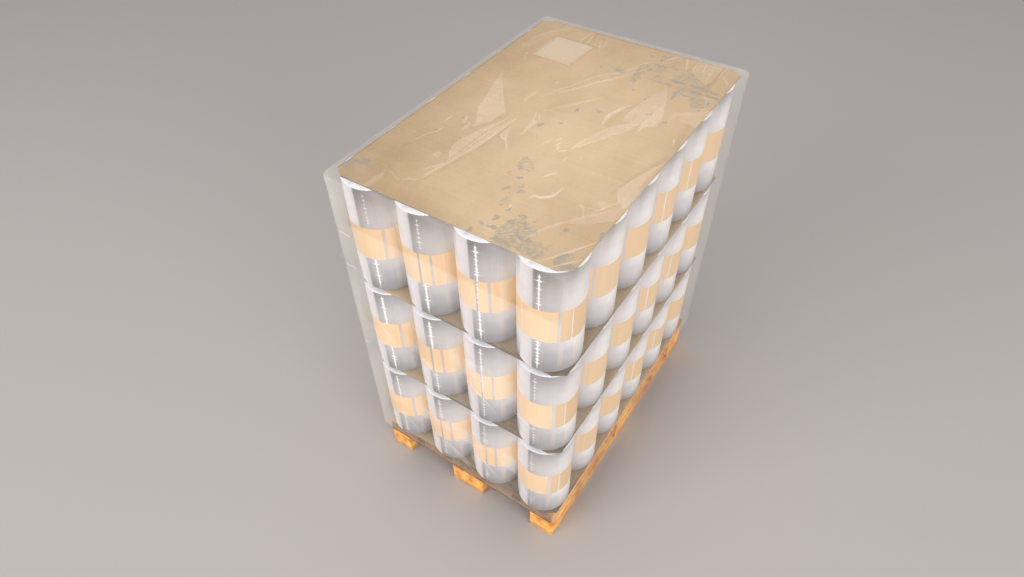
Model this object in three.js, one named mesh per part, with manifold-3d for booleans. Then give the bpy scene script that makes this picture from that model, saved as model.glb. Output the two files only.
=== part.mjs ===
// A pallet load under a shrink film hood: three layers of round canisters with lids,
// kraft board sheets between them, on a nine-block wooden pallet.
//
// Millimetres, +Z up. The origin is on the floor, under the middle of the pallet.
// X runs along the pallet's length, Y along its width.

import * as THREE from 'three';
import { mergeVertices } from 'three/addons/utils/BufferGeometryUtils.js';
import Module from 'manifold-3d';

// ---- Driving dimensions ----------------------------------------------------

const seat = 0.3;                 // gap between a piece and what it rests on

// Pallet
const palletLength = 1200;
const palletWidth = 800;
const bottomBoardThickness = 22;
const blockHeight = 78;
const stringerThickness = 22;
const deckThickness = 22;
const wideBoard = 145;
const narrowBoard = 100;
const blockLength = 145;
const palletCornerCut = 10;       // bevel on the pallet's four upright corners
const entryBevelRun = 22;         // bevel on the bottom boards, between the blocks
const entryBevelRise = 10;

// Kraft board sheets
const sheetInsetEnd = 5;          // the sheets stop this far short of the pallet's ends
const sheetInsetSide = 0;         // and of its sides
const sheetThickness = 3;
const sheetCutLong = 26;          // cut corner, measured along the length
const sheetCutWide = 36;          // and along the width

// Canisters
const layerCount = 3;
const canistersAlong = 6;
const canistersAcross = 4;
const canisterDiameter = 198;
const pitchAlong = 200;
const pitchAcross = 205;
const bodyHeight = 417;
const baseRound = 28;             // radius between the canister's base and its wall
const lidThickness = 4;
const loadShift = -15;            // the stack stands this far towards the left end
const coreSetback = 20;           // the hidden core's faces lie behind the outer row's centres

// Shrink film hood
const filmThickness = 1;
const filmSlackEnd = 10;          // room between the stack and the hood, at the ends
const filmSlackSide = 15.5;       // and along the sides
const hoodCornerLong = 39;        // the hood's upright corners, along the length
const hoodCornerWide = 23;        // and along the width
const hoodShoulder = 6;           // rounding where the walls turn into the top
const tuckRise = 18;              // the wall starts to draw in this far above the base sheet
const hemClearance = 0.6;         // between the hem and the pallet's sides
const hemStop = 1.2;              // the hem ends this far above the fork openings

// Delivery label
const labelLength = 171;
const labelWidth = 158;
const labelThickness = 0.6;
const labelFromEnd = 189;         // from the top sheet's right end to the label's middle
const labelFromSide = 194;        // and from the top sheet's back side
const labelTurn = -0.03;          // radians about Z

// Facets
const canisterSides = 24;
const baseRoundSteps = 2;
const hoodCornerSteps = 3;

// ---- Levels worked out from them -------------------------------------------

const blockTop = bottomBoardThickness + blockHeight;
const stringerTop = blockTop + stringerThickness;
const palletHeight = stringerTop + deckThickness;
const sheetLength = palletLength - 2 * sheetInsetEnd;
const sheetWidth = palletWidth - 2 * sheetInsetSide;
const canisterRadius = canisterDiameter / 2;
const baseSheetTop = palletHeight + seat + sheetThickness;
const layerPitch = seat + bodyHeight + seat + lidThickness + seat + sheetThickness;
const loadTop = baseSheetTop + layerCount * layerPitch;
const stackHalfLength = ((canistersAlong - 1) * pitchAlong) / 2 + canisterRadius;
const stackHalfWidth = ((canistersAcross - 1) * pitchAcross) / 2 + canisterRadius;
const hoodHalfLength =
  Math.max(stackHalfLength + Math.abs(loadShift), sheetLength / 2, palletLength / 2) + filmSlackEnd;
const hoodHalfWidth =
  Math.max(stackHalfWidth, sheetWidth / 2, palletWidth / 2) + filmSlackSide;
const hoodTop = loadTop + seat + filmThickness;

// ---- Materials -------------------------------------------------------------

function finish(color, roughness, metalness = 0) {
  return new THREE.MeshStandardMaterial({ color, roughness, metalness });
}

function filmFinish() {
  const film = finish(0xdfe3e3, 0.25);
  film.transparent = true;
  film.opacity = 0.3;
  film.side = THREE.DoubleSide;
  return film;
}

const pine = 0xe9a95c;
const kraft = 0xc9ae85;
const tinplate = 0xc8c5c3;
const lidWhite = 0xf3f2f5;
const labelCream = 0xeadfc9;

// ---- Solids ----------------------------------------------------------------

const manifold = await Module();
manifold.setup();

// One closed body: shared vertices merged, no empty triangles, faces pointing out.
function closed(geometry) {
  geometry.deleteAttribute('normal');
  geometry.deleteAttribute('uv');
  const merged = mergeVertices(geometry, 1e-4);
  const points = merged.attributes.position;
  const corners = [0, 1, 2].map(() => new THREE.Vector3());
  const kept = [];
  let volume = 0;
  for (let i = 0; i < merged.index.count; i += 3) {
    const triangle = [0, 1, 2].map((k) => merged.index.getX(i + k));
    if (new Set(triangle).size < 3) continue;
    triangle.forEach((vertex, k) => corners[k].fromBufferAttribute(points, vertex));
    volume += corners[0].dot(corners[1].clone().cross(corners[2]));
    kept.push(triangle);
  }
  if (volume < 0) kept.forEach((triangle) => triangle.reverse());
  merged.setIndex(kept.flat());
  return merged;
}

function toSolid(geometry) {
  const body = closed(geometry);
  return new manifold.Manifold(new manifold.Mesh({
    numProp: 3,
    vertProperties: Float32Array.from(body.attributes.position.array),
    triVerts: Uint32Array.from(body.index.array),
  }));
}

function toGeometry(solid) {
  const mesh = solid.getMesh();
  const geometry = new THREE.BufferGeometry();
  geometry.setAttribute('position', new THREE.BufferAttribute(mesh.vertProperties, 3));
  geometry.setIndex(new THREE.BufferAttribute(mesh.triVerts, 1));
  return geometry;
}

// A flat outline raised to a prism that stands on the level z.
function prism(points, height, z = 0) {
  const shape = new THREE.Shape(points.map(([x, y]) => new THREE.Vector2(x, y)));
  const geometry = new THREE.ExtrudeGeometry(shape, { depth: height, bevelEnabled: false });
  return geometry.translate(0, 0, z);
}

// A rectangle in plan, with the corners that isCut picks taken off.
function cutRectangle({ x0, x1, y0, y1 }, cutX, cutY, isCut = () => true) {
  const outline = [];
  const corners = [[x0, y0, 1, 1], [x1, y0, -1, 1], [x1, y1, -1, -1], [x0, y1, 1, -1]];
  corners.forEach(([x, y, inX, inY], index) => {
    if (!isCut(x, y)) {
      outline.push([x, y]);
      return;
    }
    const alongX = [x + inX * cutX, y];
    const alongY = [x, y + inY * cutY];
    outline.push(...(index % 2 === 0 ? [alongY, alongX] : [alongX, alongY]));
  });
  return outline;
}

// ---- Pallet ----------------------------------------------------------------

const rowNames = ['front', 'middle', 'back'];
const columnNames = ['left', 'middle', 'right'];

function spread(length, widths) {
  const gap = (length - widths.reduce((sum, width) => sum + width, 0)) / (widths.length - 1);
  let start = -length / 2;
  return widths.map((width) => {
    const span = [start, start + width];
    start += width + gap;
    return span;
  });
}

const rowSpans = spread(palletWidth, [narrowBoard, wideBoard, narrowBoard]);
const columnSpans = spread(palletLength, [blockLength, blockLength, blockLength]);
const deckSpans = spread(palletWidth, [wideBoard, narrowBoard, wideBoard, narrowBoard, wideBoard]);
const fullLength = [-palletLength / 2, palletLength / 2];
const fullWidth = [-palletWidth / 2, palletWidth / 2];

function isPalletCorner(x, y) {
  const near = (value, edge) => Math.abs(Math.abs(value) - edge) < seat;
  return near(x, palletLength / 2) && near(y, palletWidth / 2);
}

function timber([x0, x1], [y0, y1], bottom, top) {
  const outline = cutRectangle({ x0, x1, y0, y1 }, palletCornerCut, palletCornerCut, isPalletCorner);
  return prism(outline, top - bottom, bottom);
}

// The wedge taken off a bottom board's upper edge, where forks and rollers cross it.
function entryWedge([x0, x1], edgeY, inward) {
  const over = 0.2;
  const top = bottomBoardThickness;
  const run = inward * entryBevelRun;
  const section = [
    [edgeY + run * (1 + over), top + entryBevelRise * over],
    [edgeY - run * over, top + entryBevelRise * over],
    [edgeY - run * over, top - entryBevelRise * (1 + over)],
  ];
  const wedge = prism(section, x1 - x0);
  const turn = new THREE.Matrix4().makeBasis(
    new THREE.Vector3(0, 1, 0), new THREE.Vector3(0, 0, 1), new THREE.Vector3(1, 0, 0));
  return wedge.applyMatrix4(turn).translate(x0, 0, 0);
}

function bottomBoard(rowSpan) {
  let board = toSolid(timber(fullLength, rowSpan, 0, bottomBoardThickness));
  for (let column = 0; column < columnSpans.length - 1; column += 1) {
    const between = [columnSpans[column][1], columnSpans[column + 1][0]];
    board = board.subtract(toSolid(entryWedge(between, rowSpan[0], 1)));
    board = board.subtract(toSolid(entryWedge(between, rowSpan[1], -1)));
  }
  return toGeometry(board);
}

function pallet() {
  const group = new THREE.Group();
  rowSpans.forEach((rowSpan, row) => {
    group.add(piece(`bottom_board_${rowNames[row]}`, bottomBoard(rowSpan), finish(pine, 0.75)));
    columnSpans.forEach((columnSpan, column) => {
      const block = timber(columnSpan, rowSpan, bottomBoardThickness + seat, blockTop);
      group.add(piece(`block_${rowNames[row]}_${columnNames[column]}`, block, finish(pine, 0.8)));
    });
  });
  columnSpans.forEach((columnSpan, column) => {
    const stringer = timber(columnSpan, fullWidth, blockTop + seat, stringerTop);
    group.add(piece(`stringer_board_${columnNames[column]}`, stringer, finish(pine, 0.75)));
  });
  const deckNames = ['front', 'front_inner', 'middle', 'back_inner', 'back'];
  deckSpans.forEach((deckSpan, index) => {
    const board = timber(fullLength, deckSpan, stringerTop + seat, palletHeight);
    group.add(piece(`deck_board_${deckNames[index]}`, board, finish(pine, 0.75)));
  });
  return group;
}

// ---- Kraft board sheets ----------------------------------------------------

function sheet(name, bottom) {
  const box = { x0: -sheetLength / 2, x1: sheetLength / 2, y0: -sheetWidth / 2, y1: sheetWidth / 2 };
  const outline = cutRectangle(box, sheetCutLong, sheetCutWide);
  return piece(name, prism(outline, sheetThickness, bottom), finish(kraft, 0.85));
}

function sheets() {
  const group = new THREE.Group();
  for (let level = 0; level <= layerCount; level += 1) {
    const between = level === 0 ? 'base_sheet' : `layer_sheet_${level}`;
    const name = level === layerCount ? 'top_sheet' : between;
    group.add(sheet(name, baseSheetTop - sheetThickness + level * layerPitch));
  }
  return group;
}

// ---- Canisters -------------------------------------------------------------

// The outer ring of canister centres: the ones that show.
function outerCentres() {
  const centres = [];
  for (let i = 0; i < canistersAlong; i += 1) {
    for (let j = 0; j < canistersAcross; j += 1) {
      const atEnd = i === 0 || i === canistersAlong - 1;
      const atSide = j === 0 || j === canistersAcross - 1;
      if (!atEnd && !atSide) continue;
      const x = loadShift + (i - (canistersAlong - 1) / 2) * pitchAlong;
      const y = (j - (canistersAcross - 1) / 2) * pitchAcross;
      centres.push([x, y]);
    }
  }
  return centres;
}

// The hidden middle of a layer, one plain block behind the outer ring's centres.
function core(height) {
  const halfLength = ((canistersAlong - 1) * pitchAlong) / 2 - coreSetback;
  const halfWidth = ((canistersAcross - 1) * pitchAcross) / 2 - coreSetback;
  return prism([
    [loadShift - halfLength, -halfWidth], [loadShift + halfLength, -halfWidth],
    [loadShift + halfLength, halfWidth], [loadShift - halfLength, halfWidth],
  ], height);
}

// A canister's body, turned about its own axis: flat base, rounded foot, straight wall.
function canisterBody() {
  const profile = [new THREE.Vector2(0, 0)];
  for (let step = 0; step <= baseRoundSteps; step += 1) {
    const angle = (step / baseRoundSteps) * (Math.PI / 2);
    profile.push(new THREE.Vector2(
      canisterRadius - baseRound + baseRound * Math.sin(angle),
      baseRound - baseRound * Math.cos(angle)));
  }
  profile.push(new THREE.Vector2(canisterRadius, bodyHeight), new THREE.Vector2(0, bodyHeight));
  return new THREE.LatheGeometry(profile, canisterSides).rotateX(Math.PI / 2);
}

function canisterLid() {
  const lid = new THREE.CylinderGeometry(canisterRadius, canisterRadius, lidThickness, canisterSides);
  return lid.rotateX(Math.PI / 2).translate(0, 0, lidThickness / 2);
}

// The pieces of one layer as one solid: a copy at each outer centre, joined to the core.
function joinedLayer(makePiece, height) {
  let layer = toSolid(core(height));
  outerCentres().forEach(([x, y]) => {
    layer = layer.add(toSolid(makePiece().translate(x, y, 0)));
  });
  return toGeometry(layer);
}

function canisters() {
  const group = new THREE.Group();
  const bodies = joinedLayer(canisterBody, bodyHeight);
  const lids = joinedLayer(canisterLid, lidThickness);
  for (let layer = 1; layer <= layerCount; layer += 1) {
    const floor = baseSheetTop + seat + (layer - 1) * layerPitch;
    const body = piece(`canisters_layer_${layer}`, bodies, finish(tinplate, 0.35, 0.9));
    body.position.z = floor;
    const lid = piece(`lids_layer_${layer}`, lids, finish(lidWhite, 0.45));
    lid.position.z = floor + bodyHeight + seat;
    group.add(body, lid);
  }
  return group;
}

// ---- Shrink film hood ------------------------------------------------------

// A rectangle in plan with round corners, as a ring of points at the level z.
function hoodRing({ z, halfLength, halfWidth, cornerLong, cornerWide }) {
  const ring = [];
  for (let quarter = 0; quarter < 4; quarter += 1) {
    for (let step = 0; step <= hoodCornerSteps; step += 1) {
      const angle = (quarter + step / hoodCornerSteps) * (Math.PI / 2);
      const signX = quarter === 0 || quarter === 3 ? 1 : -1;
      const signY = quarter < 2 ? 1 : -1;
      ring.push(new THREE.Vector3(
        signX * (halfLength - cornerLong) + cornerLong * Math.cos(angle),
        signY * (halfWidth - cornerWide) + cornerWide * Math.sin(angle),
        z));
    }
  }
  return ring;
}

// A closed body through a stack of rings with as many points each, from the lowest up.
function loft(rings) {
  const count = rings[0].length;
  const positions = rings.flat().flatMap((point) => point.toArray());
  const faces = [];
  for (let level = 0; level < rings.length - 1; level += 1) {
    for (let i = 0; i < count; i += 1) {
      const a = level * count + i;
      const b = level * count + ((i + 1) % count);
      faces.push(a, b, b + count, a, b + count, a + count);
    }
  }
  const plan = rings[0].map((point) => new THREE.Vector2(point.x, point.y));
  const last = (rings.length - 1) * count;
  THREE.ShapeUtils.triangulateShape(plan, []).forEach(([a, b, c]) => {
    faces.push(c, b, a, last + a, last + b, last + c);
  });
  const geometry = new THREE.BufferGeometry();
  geometry.setAttribute('position', new THREE.Float32BufferAttribute(positions, 3));
  geometry.setIndex(faces);
  return geometry;
}

// The hood's outer form, or its inner one when inset by the film's thickness:
// flat top, upright walls, drawn in under the load and snug round the pallet to the hem.
function hoodForm(inset) {
  const wall = {
    halfLength: hoodHalfLength - inset,
    halfWidth: hoodHalfWidth - inset,
    cornerLong: hoodCornerLong - inset,
    cornerWide: hoodCornerWide - inset,
  };
  const hem = {
    halfLength: palletLength / 2 + hemClearance + filmThickness - inset,
    halfWidth: palletWidth / 2 + hemClearance + filmThickness - inset,
    cornerLong: palletCornerCut,
    cornerWide: palletCornerCut,
  };
  const crown = {
    halfLength: wall.halfLength - hoodShoulder,
    halfWidth: wall.halfWidth - hoodShoulder,
    cornerLong: wall.cornerLong - hoodShoulder,
    cornerWide: wall.cornerWide - hoodShoulder,
  };
  const below = inset > 0 ? filmThickness : 0;
  return loft([
    hoodRing({ z: blockTop + hemStop - below, ...hem }),
    hoodRing({ z: stringerTop, ...hem }),
    hoodRing({ z: baseSheetTop + tuckRise, ...wall }),
    hoodRing({ z: hoodTop - hoodShoulder - inset, ...wall }),
    hoodRing({ z: hoodTop - inset, ...crown }),
  ]);
}

function filmHood() {
  const hood = toSolid(hoodForm(0)).subtract(toSolid(hoodForm(filmThickness)));
  return piece('film_hood', toGeometry(hood), filmFinish());
}

function deliveryLabel() {
  const label = new THREE.BoxGeometry(labelLength, labelWidth, labelThickness);
  const mesh = piece('delivery_label', label, finish(labelCream, 0.7));
  mesh.position.set(
    sheetLength / 2 - labelFromEnd,
    sheetWidth / 2 - labelFromSide,
    hoodTop + seat + labelThickness / 2);
  mesh.rotation.z = labelTurn;
  return mesh;
}

// ---- The load --------------------------------------------------------------

function piece(name, geometry, material) {
  const mesh = new THREE.Mesh(closed(geometry.clone()), material);
  mesh.name = name;
  return mesh;
}

const load = new THREE.Group();
load.add(pallet(), sheets(), canisters(), filmHood(), deliveryLabel());

export default load;
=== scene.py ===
# %% [markdown]
# # A pallet load under a shrink film hood
#
# The real object is built up from the floor: a nine-block pine pallet, a kraft board sheet, then three
# layers of round tinplate canisters with white lids and a board sheet on each layer. A film hood is
# pulled over the stack and shrunk with hot air until it grips the pallet's edge.
#
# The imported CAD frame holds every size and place. Here each piece gets its fine shape and its finish, in
# the order in which the load is packed: wood, board, canisters, film, label, and then the studio.

import math
import random

import bmesh
import bpy
import numpy as np
from mathutils import Matrix, Vector, noise


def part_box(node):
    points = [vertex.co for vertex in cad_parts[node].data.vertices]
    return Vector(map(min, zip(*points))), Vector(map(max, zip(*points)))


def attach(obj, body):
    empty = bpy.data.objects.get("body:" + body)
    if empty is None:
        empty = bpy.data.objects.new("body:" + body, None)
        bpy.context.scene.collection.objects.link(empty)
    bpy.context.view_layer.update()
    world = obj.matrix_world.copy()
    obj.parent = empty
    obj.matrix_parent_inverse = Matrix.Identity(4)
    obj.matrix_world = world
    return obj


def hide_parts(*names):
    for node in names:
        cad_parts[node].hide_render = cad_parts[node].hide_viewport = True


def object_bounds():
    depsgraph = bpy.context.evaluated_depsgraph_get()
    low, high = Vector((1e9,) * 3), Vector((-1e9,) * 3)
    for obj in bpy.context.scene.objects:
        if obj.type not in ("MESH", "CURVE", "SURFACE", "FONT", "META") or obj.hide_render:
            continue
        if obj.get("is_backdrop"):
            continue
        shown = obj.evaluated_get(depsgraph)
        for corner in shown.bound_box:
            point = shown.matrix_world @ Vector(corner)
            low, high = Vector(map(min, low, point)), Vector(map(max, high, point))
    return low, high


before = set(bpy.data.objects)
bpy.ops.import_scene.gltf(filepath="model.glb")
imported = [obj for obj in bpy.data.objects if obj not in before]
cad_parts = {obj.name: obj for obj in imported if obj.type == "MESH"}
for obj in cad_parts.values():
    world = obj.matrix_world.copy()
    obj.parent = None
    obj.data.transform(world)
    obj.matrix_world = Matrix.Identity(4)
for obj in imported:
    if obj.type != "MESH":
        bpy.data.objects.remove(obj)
cad_low, cad_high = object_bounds()
MM = 0.001
random.seed(29)
print("CAD box in metres:", [round(b - a, 4) for a, b in zip(cad_low, cad_high)])

# %% [markdown]
# ## The camera
#
# A load is best looked at from above a corner, so that the top and two sides show. The camera stands close
# with a wide lens, which makes the pallet look small under the broad top. Its direction is easiest to
# state as a turn from +X, a tilt down and a slight roll; the three axes of its matrix follow from these.

# %% Place the camera
view_from = Vector((-1.6775, -0.9617, 2.6135))
view_turn, view_tilt, view_roll = map(math.radians, (34.11, 45.475, -0.881))
view_lens_mm, view_sensor_mm = 24.35, 36
load_middle = Vector((0, 0, 0.7))

ahead = Vector((
    math.cos(view_tilt) * math.cos(view_turn),
    math.cos(view_tilt) * math.sin(view_turn),
    -math.sin(view_tilt)))
level = ahead.cross(Vector((0, 0, 1))).normalized()
lift = level.cross(ahead)
right = level * math.cos(view_roll) + lift * math.sin(view_roll)
upward = lift * math.cos(view_roll) - level * math.sin(view_roll)

camera = bpy.data.objects.new("camera", bpy.data.cameras.new("camera"))
camera.data.lens = view_lens_mm
camera.data.sensor_width = view_sensor_mm
camera.matrix_world = Matrix((right, upward, -ahead)).transposed().to_4x4()
camera.matrix_world.translation = view_from
bpy.context.collection.objects.link(camera)
bpy.context.scene.camera = camera
bpy.context.scene.view_settings.view_transform = "Standard"
print("camera distance to the load's middle:", round((view_from - load_middle).length, 3), "m")

# %% [markdown]
# ## Small helpers
#
# Colours are written as the hex codes that a paint or paper chart gives, and one function turns them into
# the linear light that a renderer adds up. One function adds a shader node, and a few short ones say with
# it what most materials need: a ramp, a mix, noise of a given size. One function turns lists of points and
# faces into a piece that rides on the load.

# %% Colours and nodes
def linear(hex_code):
    channels = [int(hex_code[i:i + 2], 16) / 255 for i in (1, 3, 5)]
    light = [c / 12.92 if c <= 0.04045 else ((c + 0.055) / 1.055) ** 2.4 for c in channels]
    return (*light, 1.0)


def connect(tree, source, socket):
    """Feeds a socket from a value, from another socket or from a node's first output."""
    if isinstance(source, bpy.types.Node):
        source = next(output for output in source.outputs if output.enabled)
    if isinstance(source, bpy.types.NodeSocket):
        tree.links.new(source, socket)
    else:
        socket.default_value = source


def add(tree, kind, inputs=None, stops=(), **settings):
    """Adds a shader node. Inputs go by name or number. Stops are a ramp's places and hex codes."""
    node = tree.nodes.new("ShaderNode" + kind)
    for name, value in settings.items():
        setattr(node, name, value)
    shown = {socket.name: socket for socket in reversed(node.inputs) if socket.enabled}
    for key, source in (inputs or {}).items():
        connect(tree, source, shown[key] if isinstance(key, str) else node.inputs[key])
    for index, (place, hex_code) in enumerate(stops):
        marks = node.color_ramp.elements
        mark = marks[index] if index < 2 else marks.new(place)
        mark.position = place
        mark.color = linear(hex_code)
    return node


def new_material(name, **constants):
    """A material with a Principled shader, and the constants that stand on its own sockets."""
    material = bpy.data.materials.new(name)
    material.use_nodes = True
    tree = material.node_tree
    shader = tree.nodes["Principled BSDF"]
    for key, value in constants.items():
        shader.inputs[key.replace("_", " ")].default_value = value
    return material, tree, shader


def drive(tree, shader, **sources):
    for key, source in sources.items():
        connect(tree, source, shader.inputs[key.replace("_", " ")])


print("kraft brown as light:", [round(channel, 3) for channel in linear("#BB9C71")])


# %% What most materials need
def kept_number(tree, name):
    return add(tree, "Attribute", attribute_name=name).outputs["Fac"]


def kept_place(tree, name):
    return add(tree, "Attribute", attribute_name=name).outputs["Vector"]


def maths(tree, operation, *values, **settings):
    return add(tree, "Math", dict(enumerate(values)), operation=operation, **settings)


def times_plus(tree, value, factor, rest):
    return maths(tree, "MULTIPLY_ADD", value, factor, rest)


def span(tree, value, low, high, at_low=0.0, at_high=1.0):
    """Goes from at_low to at_high while the value goes from low to high."""
    return add(tree, "MapRange", {"Value": value, "From Min": low, "From Max": high,
                                  "To Min": at_low, "To Max": at_high})


def ramp(tree, share, stops, blend="LINEAR"):
    node = add(tree, "ValToRGB", {"Fac": share}, stops=stops)
    node.color_ramp.interpolation = blend
    return node


def mixed(tree, share, a, b, way="MIX"):
    """Colour a, and as much of b as the share says, or b multiplied onto a."""
    return add(tree, "Mix", {"Factor": share, "A": a, "B": b}, data_type="RGBA",
               blend_type=way).outputs[2]


def stretched(tree, place, sizes_mm):
    """A place in metres, counted in steps of sizes_mm along each axis."""
    per_metre = tuple(1 / (size * MM) for size in sizes_mm)
    return add(tree, "VectorMath", {0: place, 1: per_metre}, operation="MULTIPLY")


def waves(tree, place, sizes_mm, detail=2.0, roughness=0.5):
    """Noise with waves about as long as sizes_mm along each axis."""
    return add(tree, "TexNoise", {"Vector": stretched(tree, place, sizes_mm), "Scale": 1.0,
                                  "Detail": detail, "Roughness": roughness})


def relief(tree, height, strength, depth_mm):
    return add(tree, "Bump", {"Height": height, "Strength": strength, "Distance": depth_mm * MM})


print("a pattern of 5 mm waves repeats", round(1 / (5 * MM)), "times in a metre")


# %% Meshes
def make_piece(name, points, faces, material, smooth_angle):
    """A piece of the object: a mesh in metres, in the load's frame, that rides on it."""
    mesh = bpy.data.meshes.new(name)
    mesh.from_pydata([tuple(p) for p in points], [], [tuple(f) for f in faces])
    mesh.validate()
    mesh.update()
    mesh.polygons.foreach_set("use_smooth", [True] * len(mesh.polygons))
    mesh.set_sharp_from_angle(angle=math.radians(smooth_angle))
    piece = bpy.data.objects.new(name, mesh)
    bpy.context.collection.objects.link(piece)
    mesh.materials.append(material)
    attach(piece, "root")
    return piece


def keep_values(piece, name, values):
    """Keeps a number or a vector for each point of a mesh, for its material to read."""
    values = np.asarray(values, dtype=np.float32)
    kind, field = ("FLOAT", "value") if values.ndim == 1 else ("FLOAT_VECTOR", "vector")
    piece.data.attributes.new(name, kind, "POINT").data.foreach_set(field, values.ravel())


def rough(point, size_mm, seed=0.0):
    """Smooth noise from -1 to 1 at a point in metres, with waves about as long as size_mm."""
    return noise.noise(Vector(point) * (1 / (size_mm * MM)) + Vector((seed, seed * 1.7, seed * 0.3)))


print("helpers ready")

# %% [markdown]
# ## Pine
#
# Pallets are nailed from rough-sawn pine, dried but never planed. The eye reads warm yellow wood with
# cloudy resin patches, growth rings that run out along a board, short dark fibres and now and then a knot.
#
# A picture wrapped round a board shows the same rings on its face and its end, which real wood never does.
# So the pattern is a solid one: every point of a timber knows where it lay in the log, along, across and
# through, and the rings are cylinders round the log's heart.

# %% The pine material
ring_spacing_mm = 5.0       # slow-grown rings are 2 to 3 mm apart; drawn coarser so that they show
rings_per_scale = 0.314     # the wave texture's rings lie 0.314 apart at a scale of 1
along_grain = 0.05          # rings change this much more slowly along the log than across it
ring_distortion = 2.2
fibre_mm = (90, 2.4, 2.4)   # real fibres are finer than a pixel; these are bundles of them
patch_mm = (56, 34, 28)     # resin and damp clouds
# How much each pattern moves the tone, and the rest that puts the rings round a tone of 0.
ring_share, ring_rest, fibre_share, patch_share = 0.26, -0.16, 0.34, 1.27
knot_mm = (260, 90, 900)    # a knot every few hands, running through the board
knot_core, knot_rim, knot_cover = 0.05, 0.10, 0.75


def pine(name, light, middle, dark, sawn):
    material, tree, shader = new_material(name, Roughness=0.78, IOR=1.5)
    log = kept_place(tree, "log_place")
    squeezed = add(tree, "VectorMath", {0: log, 1: (along_grain, 1, 1)}, operation="MULTIPLY")
    rings = add(
        tree, "TexWave",
        {"Vector": squeezed, "Scale": rings_per_scale / (ring_spacing_mm * MM),
         "Distortion": ring_distortion, "Detail": 2.0, "Detail Scale": 0.6},
        wave_type="RINGS", rings_direction="X", wave_profile="SAW")
    tone = times_plus(tree, rings.outputs["Fac"], ring_share, ring_rest)
    tone = times_plus(tree, waves(tree, log, fibre_mm, 3.0), fibre_share, tone)
    tone = times_plus(tree, waves(tree, log, patch_mm, 2.5), patch_share, tone)
    wood = ramp(tree, tone, ((0.50, light), (0.78, middle), (1.0, dark)))
    knots = add(tree, "TexVoronoi", {"Vector": stretched(tree, log, knot_mm), "Scale": 1.0,
                                     "Randomness": 1.0})
    knotted = mixed(tree, span(tree, knots, knot_core, knot_rim, knot_cover, 0.0), wood, linear("#8A5A33"))
    ended = mixed(tree, kept_number(tree, "end_grain"), knotted, linear(sawn))
    drive(tree, shader, Base_Color=ended, Normal=relief(tree, tone, 0.35, 0.8))
    return material


# Three tones of one pine: the blocks' paler tones are painted light that lifts the shade round them, and the
# stringers' dark tones are painted shade for the strip under the deck's edge on the short end.
lit_block_pine = pine("pine_block_painted_light", "#FFD878", "#FFB664", "#DE873F", "#FFB664")
board_pine = pine("pine_rough_sawn_board", "#FFC478", "#EBAD69", "#C8884B", "#614229")
shaded_stringer_pine = pine("pine_stringer_painted_shade", "#A37B58", "#88623F", "#6A472D", "#F2B468")
print("pine:", lit_block_pine.name, board_pine.name, shaded_stringer_pine.name)

# %% [markdown]
# ## Timbers
#
# A sawn timber is never a perfect box: the saw wanders by a fraction of a millimetre and handling rounds
# its arrises. A bare cube with a bevel would look moulded. Here each blank from the frame keeps its size,
# its edges are eased, it is sliced into short lengths, and every point moves by a little noise.

# %% Slice a blank
slice_mm = 30            # spacing of the cuts that let a face wander


def slice_up(blank, axis, low, high):
    direction = Vector([float(k == axis) for k in range(3)])
    count = int((high - low) / (slice_mm * MM))
    for index in range(1, count):
        place = direction * (low + (high - low) * index / count)
        everything = blank.verts[:] + blank.edges[:] + blank.faces[:]
        bmesh.ops.bisect_plane(blank, geom=everything, plane_co=place, plane_no=direction)


def taken(shape):
    """Points and faces of a bmesh, which is then freed."""
    shape.verts.index_update()
    points = [vertex.co.copy() for vertex in shape.verts]
    faces = [[vertex.index for vertex in face.verts] for face in shape.faces]
    shape.free()
    return points, faces


board_low, board_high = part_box("deck_board_front")
print("cuts along a deck board:", int((board_high[0] - board_low[0]) / (slice_mm * MM)) - 1)

# %% Dress each timber
flat_limit = 0.02        # faces that turn less than this, in radians, are one face before the easing
arris_mm, arris_profile = 1.6, 0.6       # how far an edge is worn back, and how round
saw_wander_mm, saw_wave_mm = 0.35, 70
arris_wear_mm, arris_wave_mm, arris_wear_from = 0.9, 24, 0.1
end_depth_mm = 1.3       # points this near the end count as the sawn end
# Where a timber's middle lay in its log: along it, and across and through it from the heart.
log_along_m, log_across_mm, log_through_mm = (0, 4), (-60, 60), (-90, -30)
# The wood of each kind, and how far a sawn end takes its own colour. The deck's ends are a deep brown as
# painted shade for the strip under the top's edge on the short end; the stringers' ends keep pale pine, and
# the lowest boards' hardly differ.
woods = {"block": (lit_block_pine, 0.0), "bottom": (board_pine, 0.12), "deck": (board_pine, 0.8),
         "stringer": (shaded_stringer_pine, 0.85)}


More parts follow.
